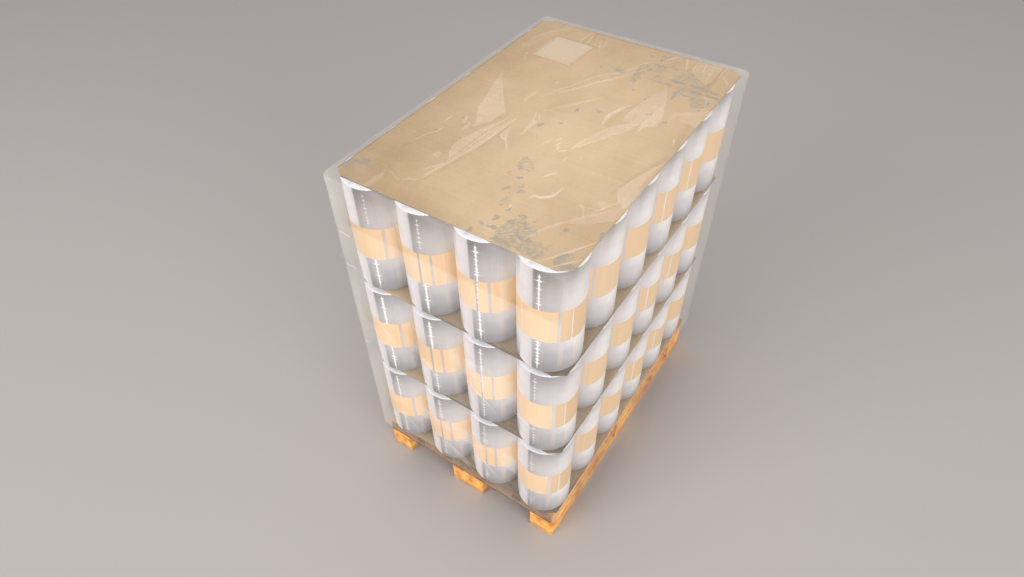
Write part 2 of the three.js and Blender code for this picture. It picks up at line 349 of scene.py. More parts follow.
def dress_timber(node_name, material, sawn_share):
    low, high = (Vector(corner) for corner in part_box(node_name))
    blank = bmesh.new()
    blank.from_mesh(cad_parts[node_name].data)
    bmesh.ops.dissolve_limit(blank, angle_limit=flat_limit, verts=blank.verts[:], edges=blank.edges[:])
    bmesh.ops.bevel(blank, geom=blank.edges[:], offset=arris_mm * MM, segments=2, profile=arris_profile,
                    affect="EDGES", clamp_overlap=True)
    for vertex in blank.verts:
        vertex.tag = True      # it lies on an arris, which wears most
    slice_up(blank, 0, low.x, high.x)
    slice_up(blank, 1, low.y, high.y)
    blank.normal_update()
    seed = random.uniform(0, 90)
    for vertex in blank.verts:
        wander = rough(vertex.co, saw_wave_mm, seed) * saw_wander_mm
        worn = max(0, rough(vertex.co, arris_wave_mm, seed + 5) - arris_wear_from) if vertex.tag else 0
        vertex.co += vertex.normal * (wander - saw_wander_mm - worn * arris_wear_mm) * MM
    points, faces = taken(blank)
    piece = make_piece("timber_" + node_name, points, faces, material, smooth_angle=35)
    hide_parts(node_name)

    middle, size = (low + high) / 2, high - low
    length_axis = 1 if size.y > size.x else 0
    places = [point - middle for point in points]
    keep_values(piece, "end_grain", [
        sawn_share if size[length_axis] / 2 - abs(place[length_axis]) < end_depth_mm * MM else 0
        for place in places])
    in_log = Vector((random.uniform(*log_along_m), random.uniform(*log_across_mm) * MM,
                     random.uniform(*log_through_mm) * MM))
    if length_axis == 1:
        places = [Vector((place.y, place.x, place.z)) for place in places]
    keep_values(piece, "log_place", [place + in_log for place in places])
    return piece


timbers = [
    dress_timber(name, *woods[name.split("_")[0]])
    for name in sorted(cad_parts) if name.split("_")[0] in woods]
print(len(timbers), "timbers,", sum(len(t.data.polygons) for t in timbers), "faces")

# %% [markdown]
# ## Kraft board
#
# The sheets between the layers are solid kraft board, pressed from brown pulp. The surface is matt and even
# at arm's length; near by it shows pale and dark fibres and faint streaks along the machine direction. Damp
# has left grey-green blots in a few places, as flakes that follow the fibres.
#
# The blots could be painted by hand. It is simpler to say where the damp came in, as a few soft ovals kept
# on the mesh, and to let a noise pattern break each oval up into flakes.

# %% The kraft material
kraft_fibre_mm = (9, 4, 4)       # real fibres are 2 to 4 mm long and a tenth as wide; drawn coarser
kraft_cloud_mm = (150, 90, 90)   # uneven pulp
kraft_streak_mm = (8, 380, 8)    # marks of the machine's felt, across the pallet
blot_flake_mm = (15, 6, 6)       # damp flakes, longer one way
blot_turn_deg = 45               # which way, from the length of the pallet
cloud_share, streak_share, pulp_share = 0.34, 0.20, 0.27     # how much each pattern moves the tone
# Damp plus the flakes' noise gives a blot: where it starts, where it is full, and how much it then covers.
flake_share, blot_starts, blot_full, blot_cover = 1.8, 1.38, 1.78, 0.62
kraft_tones = ((0.0, "#6A5336"), (0.12, "#9B8463"), (0.35, "#BB9C71"), (0.65, "#D2B48B"), (1.0, "#E6C9A0"))


def load_place(tree):
    """Where a point lies in the load's frame, in metres."""
    return add(tree, "TexCoord").outputs["Object"]


def kraft_board():
    material, tree, shader = new_material("kraft_board_pressed", Roughness=0.86, IOR=1.5)
    place = load_place(tree)
    turned_place = add(tree, "VectorRotate", {"Vector": place, "Angle": math.radians(blot_turn_deg)},
                       rotation_type="Z_AXIS")
    fibres = waves(tree, place, kraft_fibre_mm, 3.0, 0.6)
    flakes = waves(tree, turned_place, blot_flake_mm, 4.0, 0.62)
    tone = times_plus(tree, waves(tree, place, kraft_cloud_mm), cloud_share, kept_number(tree, "fade"))
    tone = times_plus(tree, waves(tree, place, kraft_streak_mm), streak_share, tone)
    tone = times_plus(tree, fibres, pulp_share, tone)
    blot_depth = times_plus(tree, flakes, flake_share, kept_number(tree, "damp"))
    blotted = mixed(tree, span(tree, blot_depth, blot_starts, blot_full, 0.0, blot_cover),
                    ramp(tree, tone, kraft_tones), linear("#8F9190"))
    drive(tree, shader, Base_Color=blotted, Normal=relief(tree, fibres, 0.25, 0.3))
    return material


kraft = kraft_board()
print("board material:", kraft.name)

# %% Where damp came in
# Each blot: its middle along and across the sheet, its half sizes, in mm, and its strength. The sheets of
# one pack were stored together, so the lower ones carry the same blots, except those of the left end.
blots_left = (
    (-535, -195, 78, 58, 0.68), (-262, -62, 46, 34, 0.56), (-372, -98, 32, 28, 0.52),
    (-590, -140, 14, 50, 0.5), (-578, -180, 9, 30, 0.95), (-586, -88, 14, 9, 0.9),
    (-546, -112, 10, 34, 0.75), (-543, -140, 9, 14, 0.95), (-540, -232, 9, 38, 0.95),
    (-502, -168, 9, 18, 0.85), (-503, -211, 12, 7, 0.9), (-502, -240, 14, 7, 0.9),
    (-465, -180, 12, 16, 0.85), (-468, -220, 10, 8, 0.85), (-579, -236, 9, 12, 0.9),
    (-578, -271, 12, 9, 0.95), (-580, -296, 16, 7, 0.95), (-562, -270, 36, 50, 0.68),
    (-535, -298, 44, 6, 0.6), (-452, -305, 9, 8, 0.95), (-470, -299, 28, 6, 0.5),
    (-418, -394, 18, 8, 1.0), (-560, -350, 44, 14, 0.9), (-575, -382, 22, 22, 1.1),
    (-545, -362, 36, 22, 0.6), (-512, -120, 20, 9, 0.7), (-499, -120, 8, 8, 0.95),
    (-464, -131, 12, 7, 0.95), (-466, -145, 12, 7, 0.6), (-455, -98, 14, 12, 0.6),
    (-430, -100, 24, 18, 0.6), (-400, -90, 9, 12, 0.55), (-386, -73, 9, 16, 0.75),
    (-420, -66, 9, 9, 0.45), (-376, -116, 14, 13, 0.75), (-352, -107, 9, 6, 0.95),
    (-366, -95, 9, 8, 0.5), (-321, -38, 12, 9, 0.7), (-322, -76, 9, 12, 0.85), (-322, -55, 6, 10, 0.5),
    (-268, -41, 24, 9, 0.7), (-286, -52, 8, 12, 0.8), (-293, -78, 8, 18, 0.5), (-270, -94, 14, 5, 0.6),
    (-234, -38, 9, 14, 0.75), (-236, -72, 9, 24, 0.5), (-221, -86, 7, 12, 0.5), (-535, 384, 24, 16, 1.1),
    (-515, 376, 9, 28, 1.3), (-500, 350, 12, 20, 1.1), (-487, 275, 12, 12, 0.6),
    (-154, 248, 14, 7, 0.75), (-390, 84, 10, 6, 0.35))
blots_middle = (
    (-60, 22, 10, 7, 1.0), (-50, 14, 16, 10, 0.75), (-168, 48, 12, 5, 0.4), (-128, -14, 9, 12, 0.4),
    (-15, -33, 9, 8, 1.0), (6, -33, 8, 9, 0.5), (-42, -33, 9, 8, 0.5), (82, -37, 16, 5, 1.0),
    (111, -98, 8, 13, 0.85), (70, -205, 9, 5, 0.5), (0, -211, 14, 5, 0.4), (158, -221, 9, 7, 0.6),
    (182, -242, 10, 16, 0.9), (163, -307, 12, 9, 1.0), (150, -300, 20, 12, 0.5), (185, -378, 18, 22, 0.5))
blots_right = (
    (380, 34, 11, 6, 0.85), (377, 16, 10, 6, 0.6), (415, 30, 12, 22, 0.35), (335, 30, 12, 22, 0.3),
    (388, -30, 30, 34, 0.62), (380, -30, 12, 16, 0.9), (331, -30, 13, 8, 0.7), (378, -50, 14, 10, 0.8),
    (420, -86, 15, 9, 0.95), (458, -80, 22, 7, 0.7), (386, -94, 14, 12, 0.9), (400, -96, 90, 26, 0.6),
    (344, -108, 13, 7, 0.85), (373, -118, 9, 9, 0.7), (467, -105, 12, 10, 0.7), (443, -118, 16, 8, 0.85),
    (470, -140, 40, 34, 0.6), (491, -128, 9, 16, 0.85), (491, -155, 10, 14, 1.0),
    (530, -126, 14, 8, 0.9), (557, -125, 9, 14, 0.85), (568, -142, 12, 12, 0.8), (541, -80, 12, 12, 0.7),
    (562, -91, 16, 6, 0.85), (395, -165, 44, 30, 0.5), (418, -158, 16, 10, 0.65),
    (385, -190, 16, 40, 0.6), (417, -185, 9, 14, 0.5), (383, -214, 9, 14, 0.85),
    (418, -240, 10, 40, 0.95), (455, -226, 16, 9, 0.9), (495, -256, 10, 16, 0.9),
    (458, -258, 14, 26, 0.75), (440, -262, 74, 66, 0.62), (360, -262, 58, 26, 0.62),
    (310, -262, 10, 8, 0.9), (340, -260, 26, 9, 0.8), (330, -244, 22, 9, 0.4), (380, -270, 12, 7, 0.85),
    (348, -292, 10, 13, 0.85), (384, -316, 12, 22, 0.85), (420, -312, 12, 24, 0.85),
    (400, -318, 66, 46, 0.62), (330, -350, 44, 38, 0.66), (302, -334, 16, 10, 0.9),
    (340, -318, 14, 8, 0.85), (277, -345, 7, 12, 0.55), (280, -366, 9, 9, 0.9), (330, -374, 34, 8, 0.75),
    (385, -372, 9, 36, 0.95), (410, -372, 8, 36, 0.7), (455, -333, 14, 8, 0.95),
    (246, -113, 9, 10, 0.55), (237, -23, 13, 7, 0.5), (292, -130, 10, 8, 1.0), (257, -193, 12, 8, 1.0),
    (495, -195, 12, 7, 0.9), (225, -370, 14, 7, 0.4), (250, -272, 8, 9, 0.5), (487, -378, 7, 9, 0.45))
# Painted light and shade on the board, darker towards the back and the ends and lighter in the middle and
# the
# near left: middle, half sizes and change of tone.
top_shades = (
    (-610, 150, 90, 220, -0.22), (-560, 360, 240, 120, -0.22), (-440, -350, 130, 60, -0.18),
    (-580, -380, 90, 60, -0.12), (0, 430, 560, 110, -0.26), (330, 330, 330, 150, -0.22),
    (-230, -40, 230, 110, 0.13), (30, -300, 200, 100, 0.06), (560, 0, 160, 260, -0.19),
    (430, -330, 220, 110, -0.08), (-370, 270, 300, 160, -0.27), (-540, -110, 110, 70, 0.18),
    (-380, -120, 280, 130, 0.08), (0, -130, 200, 150, 0.13), (450, 50, 150, 80, -0.08),
    (490, 345, 90, 70, -0.11), (240, 385, 100, 50, 0.08))
# Soft lines on the board: half width, change of tone, and the line. The dark ones beside the film's folds
# and along the left edge are painted shade; two dark ones run through the blots, and the light ones are
# where the felt pressed.
top_lines = (
    (7, -0.15, ((-240, -336), (-150, -351), (-60, -376), (-10, -392))),
    (9, -0.13, ((50, -160), (100, -155), (150, -166), (205, -186))),
    (7, -0.15, ((92, -203), (125, -209), (165, -205))),
    (8, -0.13, ((205, -190), (260, -200), (310, -211), (372, -236))),
    (12, -0.12, ((50, -392), (110, -386), (190, -376))),
    (7, -0.16, ((420, -333), (470, -336), (590, -338))),
    (9, -0.14, ((503, -236), (545, -243), (592, -244))),
    (10, -0.10, ((505, -175), (550, -180), (590, -196))),
    (40, -0.07, ((-575, 110), (-600, -70))),
    (5, -0.20, ((493, 178), (530, 178), (592, 173))),
    (6, -0.12, ((500, 150), (545, 158), (592, 168))),
    (6, -0.12, ((478, 110), (520, 122), (592, 150))),
    (6, -0.12, ((-480, 150), (-400, 133), (-300, 118), (-200, 100), (-110, 95))),
    (7, -0.12, ((-185, 192), (-140, 160), (-95, 150), (-60, 140))),
    (6, -0.10, ((-380, 305), (-330, 300), (-280, 290), (-260, 276))),
    (7, 0.06, ((-191, -130), (-190, -350))), (8, 0.06, ((-118, -60), (-117, -345))),
    (6, 0.05, ((-75, -250), (-74, -345))),
    (5, -0.16, ((385, -205), (386, -390))), (5, -0.16, ((418, -205), (417, -390))))
print("blots:", len(blots_left + blots_middle + blots_right), "on the top sheet,",
      len(blots_middle + blots_right), "on the others")


# %% How damp, marks and painted shade spread
frays = ((7, 24, 0), (4, 10, 9))     # height and length of each wave in mm, and its seed
blot_slope = 2.2                     # how steeply a blot fills, from its edge inward
shade_falloff = 1.2                  # how fast an oval of painted light and shade fades outward


def ovals(places, patches):
    """For each oval: how far each place lies from its middle, squared, and its amount. Its edge is at 1."""
    for along, across, half_along, half_across, amount in patches:
        away = ((places[:, 0] - along) / half_along) ** 2 + ((places[:, 1] - across) / half_across) ** 2
        yield away, amount


def ragged(places):
    """Shifts places by waves of noise, so that what is laid on them frays."""
    def shift(x, y, seed):
        return sum(height * noise.noise((x / length, y / length, seed + own))
                   for height, length, own in frays)

    return np.array([(x + shift(x, y, 1), y + shift(x, y, 5)) for x, y in places.tolist()])


def dampness(places, blots):
    """How damp each place was: the most that any blot gives it, full in its middle half."""
    return np.max([amount * np.clip(blot_slope * (1 - away), 0, 1)
                   for away, amount in ovals(ragged(places), blots)], axis=0)


def oval_light_and_shade(places, shades):
    """The summed painted light and shade in soft ovals."""
    return sum((amount * np.exp(-shade_falloff * away) for away, amount in ovals(places, shades)),
               np.zeros(len(places)))


def line_tone(places, lines):
    """The summed change of tone beside soft lines."""
    total = np.zeros(len(places))
    for half_width, change, line in lines:
        nearest = np.full(len(places), np.inf)
        for start, end in zip(np.array(line[:-1], float), np.array(line[1:], float)):
            run = end - start
            along = np.clip((places - start) @ run / (run @ run), 0, 1)
            nearest = np.minimum(nearest, np.linalg.norm(places - start - along[:, None] * run, axis=1))
        total += change * np.exp(-(nearest / half_width) ** 2)
    return total


print("damp in the first blot's middle:",
      round(float(dampness(np.array([blots_left[0][:2]], float), blots_left)[0]), 2))

# %% [markdown]
# A sheet carries its load flat, and only its free edges, past the lids, droop and wave a little. The mesh
# is a fine grid with its corners cut, bent by noise near the edges, and thickened by a modifier.

# %% Lay the sheets
top_grid_mm, low_grid_mm = 5, 10     # only the rims of the lower sheets show
edge_band_mm = 45
edge_wave_mm, edge_wave_length_mm = 0.5, 120
edge_shade = -0.06          # a bent edge turns from the light
cut_edge_mm = 3
cut_edge_shade = -0.30      # sheared edges show the darker pulp inside
pulp_shade, pulp_wave_mm = 0.05, 300
# Of the lower sheets only the rims show. Painted shade darkens them at the near left corner, and painted
# light makes them paler along the near side and at the far half of the left end.
rim_shades = ((-590, -360, 90, 150, -0.28), (-610, 230, 60, 190, 0.38), (180, -410, 700, 50, 0.46))


def thicken(piece, name, thickness):
    """Gives a sheet its thickness, downward from the side that was modelled."""
    modifier = piece.modifiers.new(name, "SOLIDIFY")
    modifier.thickness = thickness
    modifier.offset = -1


def corner_cuts(node_name, high):
    """How much of a corner is cut away, along and across, read from the blank's outline."""
    outline = [vertex.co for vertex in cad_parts[node_name].data.vertices]
    along = high.x - max(p.x for p in outline if abs(p.y - high.y) < MM)
    across = high.y - max(p.y for p in outline if abs(p.x - high.x) < MM)
    return along, across


def lay_sheet(node_name, grid_mm, shade, shades, blots, lines=()):
    low, high = (Vector(corner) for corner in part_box(node_name))
    cut_x, cut_y = corner_cuts(node_name, high)
    grid = bmesh.new()
    bmesh.ops.create_grid(grid, size=1, matrix=Matrix.Diagonal((high.x, high.y, 1, 1)),
                          x_segments=int(2 * high.x / (grid_mm * MM)),
                          y_segments=int(2 * high.y / (grid_mm * MM)))
    for side_x, side_y in ((-1, -1), (-1, 1), (1, -1), (1, 1)):
        bmesh.ops.bisect_plane(
            grid, geom=grid.verts[:] + grid.edges[:] + grid.faces[:], clear_outer=True,
            plane_co=Vector((side_x * (high.x - cut_x), side_y * high.y, 0)),
            plane_no=Vector((side_x * cut_y, side_y * cut_x, 0)).normalized())
    # fade: the board's tone from its pulp and cut edge, plus painted light and shade from the sheet's level,
    # its bent edge, the ovals and the lines.
    fade = []
    for vertex in grid.verts:
        x, y = vertex.co.x, vertex.co.y
        to_edge = min(high.x - abs(x), high.y - abs(y))
        bend = max(0.0, 1 - to_edge / (edge_band_mm * MM))
        cut_edge = cut_edge_shade if to_edge < cut_edge_mm * MM else 0.0
        droop = rough((x, y, high.z), edge_wave_length_mm, 3) * bend * edge_wave_mm - edge_wave_mm * bend
        vertex.co.z = high.z + droop * MM
        fade.append(shade + pulp_shade * rough((x, y, high.z), pulp_wave_mm, 8) + edge_shade * bend
                    + cut_edge)
    points, faces = taken(grid)
    places = np.array([point.xy for point in points]) / MM
    sheet = make_piece("board_" + node_name, points, faces, kraft, smooth_angle=40)
    keep_values(sheet, "fade", np.array(fade) + oval_light_and_shade(places, shades) + line_tone(places, lines))
    keep_values(sheet, "damp", dampness(places, blots))
    thicken(sheet, "board thickness", high.z - low.z)
    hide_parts(node_name)
    return sheet


# Each sheet's own tone level: the lower sheets are set darker, painted shade for the shade between the
# layers.
sheets = [lay_sheet("top_sheet", top_grid_mm, 0.35, top_shades, blots_left + blots_middle + blots_right,
                    top_lines)]
sheets += [
    lay_sheet(name, low_grid_mm, shade, rim_shades, blots_middle + blots_right)
    for name, shade in (("layer_sheet_2", -0.16), ("layer_sheet_1", -0.18), ("base_sheet", -0.24))]
print(len(sheets), "sheets, the top one of", len(sheets[0].data.polygons), "faces")

# %% [markdown]
# ## Where the canisters stand
#
# A layer is six canisters along and four across. The frame tells where the outer ones end, so the rows
# follow from a layer's box and one canister's diameter.
#
# Each canister is turned about its own upright axis, so every shape below is given by an angle, a radius
# and a height, counted from the canister's base. An angle of 0 points along +X.

# %% Rows and layers
along_count, across_count, layers = 6, 4, (1, 2, 3)
can_radius_mm = 99
can_low, can_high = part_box("canisters_layer_1")
can_height_mm = (can_high[2] - can_low[2]) / MM
# Angles of the top layer's first row, and the turn from row to row and from layer to layer.
weld_first_deg, weld_row_deg, weld_layer_deg, weld_inner_deg = 189.4, 3.6, 3.4, 100
tint_first_deg, tint_rows_deg, tint_layer_deg = 148.9, (0, 0.3, 2.6, 2.4), 2.5


def row_places(low, high, count):
    """Where a row's canisters stand, when the outer ones end at low and at high."""
    radius = can_radius_mm * MM
    return [low + radius + index * (high - low - 2 * radius) / (count - 1) for index in range(count)]


stands = [(i, j, x, y)
          for i, x in enumerate(row_places(can_low[0], can_high[0], along_count))
          for j, y in enumerate(row_places(can_low[1], can_high[1], across_count))]


def weld_angle(i, j, layer):
    """Which way a canister's weld faces, in degrees. Only the left end shows its welds."""
    turn = weld_first_deg + weld_row_deg * j - weld_layer_deg * (layers[-1] - layer)
    return turn if i == 0 else turn + weld_inner_deg


def tint_angle(j, layer):
    """Where the bands of light start. What a wall mirrors moves a little from row to row and by height."""
    return tint_first_deg - tint_layer_deg * (layers[-1] - layer) + tint_rows_deg[j]


print("canister rows along X:", sorted({round(x, 4) for i, j, x, y in stands}),
      "and along Y:", sorted({round(y, 4) for i, j, x, y in stands}))


# %% Turned shapes
def around(angle_deg, radius_mm, height_mm):
    angle = math.radians(angle_deg)
    return (radius_mm * MM * math.cos(angle), radius_mm * MM * math.sin(angle), height_mm * MM)


def turn_of(place):
    """The angle at which a place lies round its canister, from 0 to 360 degrees."""
    return math.degrees(math.atan2(place[1], place[0])) % 360


def turned(profile, sides):
    """Points and faces of a closed turned form. The profile, in mm, starts and ends on the axis."""
    rings = profile[1:-1]
    points = [(0, 0, profile[0][1] * MM)]
    for radius, height in rings:
        points += [around(360 * side / sides, radius, height) for side in range(sides)]
    points.append((0, 0, profile[-1][1] * MM))
    faces = []
    for side in range(sides):
        after = (side + 1) % sides
        faces.append((0, 1 + after, 1 + side))
        for ring in range(len(rings) - 1):
            low, high = 1 + ring * sides, 1 + (ring + 1) * sides
            faces.append((low + side, low + after, high + after, high + side))
        top = 1 + (len(rings) - 1) * sides
        faces.append((top + side, top + after, len(points) - 1))
    return points, faces


def layer_piece(name, layer, shapes, node, material, smooth_angle):
    """Joins shapes, each a (points, faces, x, y), into one piece, which starts at the height where the
    layer's CAD node does. Also gives each point's place on its own canister."""
    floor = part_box(f"{node}_layer_{layer}")[0][2]
    points, faces, places = [], [], []
    for shape_points, shape_faces, x, y in shapes:
        first = len(points)
        points += [(px + x, py + y, pz + floor) for px, py, pz in shape_points]
        places += shape_points
        faces += [tuple(first + index for index in face) for face in shape_faces]
    return make_piece(f"{name}_{layer}", points, faces, material, smooth_angle), places


cone = ((0, 0), (50, 0), (0, 80))
print("a cone turned with 12 sides has", len(turned(cone, 12)[1]), "faces")

# %% [markdown]
# ## Tinplate
#
# The canister's wall is thin steel sheet with a coat of tin, rolled up and welded along one line. Tin is
# nearly a mirror in one direction and soft in the other, so a standing cylinder shows upright bands: a broad
# pale one that ends in a sharp dark line, then a slow rise from grey to white. A soft studio has nothing to
# mirror, so these bands are worked into the metal's own tint, by the angle round the can.
#
# The same angle drives both halves of the can, and fine upright streaks break it up as rolling marks do.

# %% Bands of light and shade
tint_start_deg = 150
wall_tints = (
    (150, "#F8F3F3"), (165, "#F6F0F1"), (171, "#EEE8E8"), (178.5, "#E4DDDE"), (180, "#CAC6C7"),
    (181.8, "#B8B4B7"), (184, "#B7B3B6"), (190, "#BFBCBE"), (198, "#CCC6C5"), (216, "#D5D0D0"),
    (225, "#DEDBDA"), (243, "#F0EBEA"), (252, "#FAF5F3"), (266, "#FEFAF6"), (300, "#FDF9F5"),
    (316, "#F4F2F2"))
# Shades by height, as shares of the can, and how much each one counts at an angle: black not at all.
upper_shades = (
    (0.74, "#FFFFFF"), (0.80, "#F5F5F5"), (0.84, "#EDEDED"), (0.91, "#D8D8D9"), (0.97, "#C3C3C5"),
    (1.0, "#B9B9BB"))
upper_side = ((179, "#000000"), (181.5, "#FFFFFF"), (238, "#FFFFFF"), (256, "#ABABAB"), (316, "#000000"))
foot_shades = (
    (0.0, "#A9A9AD"), (0.062, "#AEAEB2"), (0.10, "#BFBFC3"), (0.145, "#D9D9DC"), (0.20, "#E9E9EB"),
    (0.29, "#FBFBFB"), (0.34, "#FFFFFF"))
foot_side = ((179, "#000000"), (181.5, "#FFFFFF"))
# Painted shade on the top layer under the overhanging board: from 1.30 m up to 1.42 m it goes darker still.
overhang_low, overhang_high = 1.30, 1.42
overhang_shades = (
    (0.15, "#FFFFFF"), (0.375, "#F9F9F9"), (0.51, "#F2F2F2"), (0.64, "#E9E9E9"), (0.84, "#DCDCDD"),
    (1.0, "#CCCCCE"))
overhang_side = ((179, "#000000"), (181.5, "#505050"), (225, "#505050"), (242, "#D2D2D2"))
# On the long side the board above keeps the light off the last four centimetres under each lid.
lid_shades = ((0.87, "#FFFFFF"), (0.91, "#FBFBFB"), (0.97, "#EBEBEB"), (1.0, "#DCDCDC"))
lid_side = ((236, "#000000"), (246, "#FFFFFF"))
# Below the print the wall carries upright runs of varnish, cooler and warmer, at angles from the weld.
varnish_runs = (
    (-180, "#FFFFFF"), (0, "#F4F3F5"), (9, "#E6E9EE"), (33, "#FFF6EC"), (41, "#EAECF0"), (61, "#FFF6EC"),
    (69, "#F9F8F8"))
runs_gone, runs_full, runs_foot_full, runs_foot_gone = 0.36, 0.22, 0.12, 0.04    # shares of the height
print("tints round half a can:", len(wall_tints))

# %% The tinplate material
streak_mm = (5, 5, 150)      # rolling marks, drawn ten times coarser than real ones
smear_mm = (60, 60, 45)      # soft unevenness of the tin coat


def parts_of(tree, place):
    return add(tree, "SeparateXYZ", {"Vector": place}).outputs


def tinplate():
    material, tree, shader = new_material("tinplate_welded", Metallic=0.12, Roughness=0.42)

    def angle_of(parts):
        return maths(tree, "ARCTAN2", parts["Y"], parts["X"])

    def by_angle(marks):
        return ramp(tree, half_turn, [((deg - tint_start_deg) / 180, code) for deg, code in marks])

    place = kept_place(tree, "tint_place")
    parts = parts_of(tree, place)
    half_turn = maths(tree, "FRACT", times_plus(tree, angle_of(parts), 1 / math.pi, 2.0))
    height = maths(tree, "MULTIPLY", parts["Z"], 1 / (can_height_mm * MM))
    load_height = span(tree, parts_of(tree, load_place(tree))["Z"], overhang_low, overhang_high)
    tint = by_angle(wall_tints)
    for at, shades, side in ((height, upper_shades, upper_side), (height, foot_shades, foot_side),
                             (load_height, overhang_shades, overhang_side), (height, lid_shades, lid_side)):
        tint = mixed(tree, by_angle(side), tint, ramp(tree, at, shades), "MULTIPLY")
    tint = mixed(tree, kept_number(tree, "dim"), tint, linear("#000000"))

    weld_turn = angle_of(parts_of(tree, kept_place(tree, "weld_place")))
    runs = ramp(tree, times_plus(tree, weld_turn, 0.5 / math.pi, 0.5),
                [((deg + 180) / 360, code) for deg, code in varnish_runs], "CONSTANT")
    run_strength = maths(tree, "MULTIPLY", span(tree, height, runs_gone, runs_full),
                         span(tree, height, runs_foot_gone, runs_foot_full))
    tint = mixed(tree, run_strength, tint, runs, "MULTIPLY")

    smears = waves(tree, place, smear_mm)
    uneven = times_plus(tree, waves(tree, place, streak_mm), 0.4, smears)
    grey = ramp(tree, uneven, ((0.52, "#F3F4F7"), (0.88, "#FFFFFF")))
    drive(tree, shader, Base_Color=mixed(tree, 1.0, tint, grey, "MULTIPLY"),
          Roughness=span(tree, smears, 0.0, 1.0, 0.34, 0.5))
    return material


tin = tinplate()
print("wall material:", tin.name)

# %% [markdown]
# The body is one turned profile: a flat base, a round foot, a straight wall and a narrow curled rim under
# the lid. It could be a cylinder with a bevel, but a profile states each radius once and closes by itself.

# %% Turn the bodies
can_sides = 72
foot_radius_mm, foot_steps = 28, 7
rim_curl_mm = 1.5
wall_rings = 5
# Painted shade: the near corner's canisters are darker on their right side, a little at every height, and
# more and more between two heights. The angles say where each part comes and where it goes.
dim_middle, dim_comes_deg, dim_goes_deg = 0.05, (206, 226), (232, 252)
dim_upper, dim_upper_deg, dim_upper_mm = 0.09, (220, 252), (105, 270)

body_profile = [(0, 0)]
for step in range(foot_steps + 1):
    bend = math.radians(90 * step / foot_steps)
    body_profile.append((
        can_radius_mm - foot_radius_mm * (1 - math.sin(bend)),
        foot_radius_mm * (1 - math.cos(bend))))
straight_mm = can_height_mm - foot_radius_mm - rim_curl_mm
for ring in range(1, wall_rings + 1):
    body_profile.append((can_radius_mm, foot_radius_mm + straight_mm * ring / wall_rings))
body_profile += [(can_radius_mm - rim_curl_mm, can_height_mm), (0, can_height_mm)]


def rise(value, low, high):
    """Goes from 0 at low to 1 at high, which may be the lesser one."""
    return max(0.0, min(1.0, (value - low) / (high - low)))


def dimness(i, j, place):
    """How much painted shade darkens a place."""
    if (i, j) != (0, 0):
        return 0.0
    angle = turn_of(place)
    upper = rise(place[2] / MM, *dim_upper_mm)
    middle = rise(angle, *dim_comes_deg) - rise(angle, *dim_goes_deg)
    return dim_middle * middle + dim_upper * upper * rise(angle, *dim_upper_deg)


body_shape = turned(body_profile, can_sides)
for layer in layers:
    body, _ = layer_piece("canister_bodies", layer, [(*body_shape, x, y) for i, j, x, y in stands],
                          "canisters", tin, smooth_angle=30)
    for name, angles in (("tint_place", [tint_angle(j, layer) for i, j, x, y in stands]),
                         ("weld_place", [weld_angle(i, j, layer) for i, j, x, y in stands])):
        keep_values(body, name, [Matrix.Rotation(math.radians(-angle), 3, "Z") @ Vector(place)
                                 for angle in angles for place in body_shape[0]])
    keep_values(body, "dim", [dimness(i, j, place) for i, j, x, y in stands for place in body_shape[0]])
    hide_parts(f"canisters_layer_{layer}")
print(len(layers), "layers of", len(stands), "bodies,", len(body.data.polygons), "faces each")

# %% [markdown]
# ## The printed band
#
# Each canister is printed once round its middle with a peach lacquer, in panels that leave upright lines of
# bare metal between them. Lacquer is matt and covers the metal fully. A mask in the tin's material would
# blur in any export, so each panel is a thin shell of its own, a third of a millimetre proud. The cans were
# packed at different turns, so the bare lines differ from one can to the next.

# %% Where the metal stays bare
band_low_mm, band_high_mm = 149, 272
band_sunk_mm, band_proud_mm = 0.3, 0.35
band_step_deg = 5
band_layer_deg = 1.7         # how far each layer is turned from the one above
# Bare lines: angle and width, in degrees. Each set is used twice round the can.
lines_corner = ((129.7, 2.6), (154.6, 2.6), (223.5, 5.4), (246.3, 2.7))
lines_seam = ((169.5, 0.7), (190.2, 4.4), (212.0, 4.8), (236.5, 0.7))
lines_one = ((220.0, 5.0),)
lines_two = ((221.8, 4.2), (241.5, 3.3))
lines_none = ((10.0, 3.0),)
lines_by_stand = {
    (0, 0): lines_corner, (0, 1): lines_seam, (0, 2): lines_seam, (0, 3): lines_corner,
    (3, 0): lines_two, (4, 0): lines_two, (5, 0): lines_none, (5, 1): lines_seam, (5, 2): lines_seam,
    (1, 3): lines_two, (2, 3): lines_two, (5, 3): lines_corner}
print("stands with lines of their own:", len(lines_by_stand))


# %% Panels of lacquer
def lacquer_panel(start_deg, end_deg):
    steps = max(1, math.ceil((end_deg - start_deg) / band_step_deg))
    inner, outer = can_radius_mm - band_sunk_mm, can_radius_mm + band_proud_mm
    points, faces = [], []
    for step in range(steps + 1):
        angle = start_deg + (end_deg - start_deg) * step / steps
        points += [around(angle, inner, band_low_mm), around(angle, outer, band_low_mm),
                   around(angle, outer, band_high_mm), around(angle, inner, band_high_mm)]
    for near in range(0, 4 * steps, 4):
        for side in range(4):
            after = (side + 1) % 4
            faces.append((near + side, near + 4 + side, near + 4 + after, near + after))
    faces += [(0, 1, 2, 3), tuple(4 * steps + side for side in (3, 2, 1, 0))]
    return points, faces


def lacquer_band(lines, turned_deg):
    gaps = sorted(((angle + turned_deg + turn) % 360, width) for angle, width in lines for turn in (0, 180))
    panels = []
    for (angle, width), (next_angle, next_width) in zip(gaps, gaps[1:] + gaps[:1]):
        end = next_angle - next_width / 2
        start = angle + width / 2
        panels.append(lacquer_panel(start, end if end > start else end + 360))
    return panels


print("panels on the near corner's can:", len(lacquer_band(lines_corner, 0)))

# %% Print the bands
# Ink tones, from the deepest to the palest.
lacquer_inks = ((0.0, "#E1BC8E"), (0.25, "#EAC89C"), (0.5, "#F7D2A8"), (0.75, "#FFE1B9"), (1.0, "#FFEFD0"))
plain_ink, ink_step = 0.5, 0.25
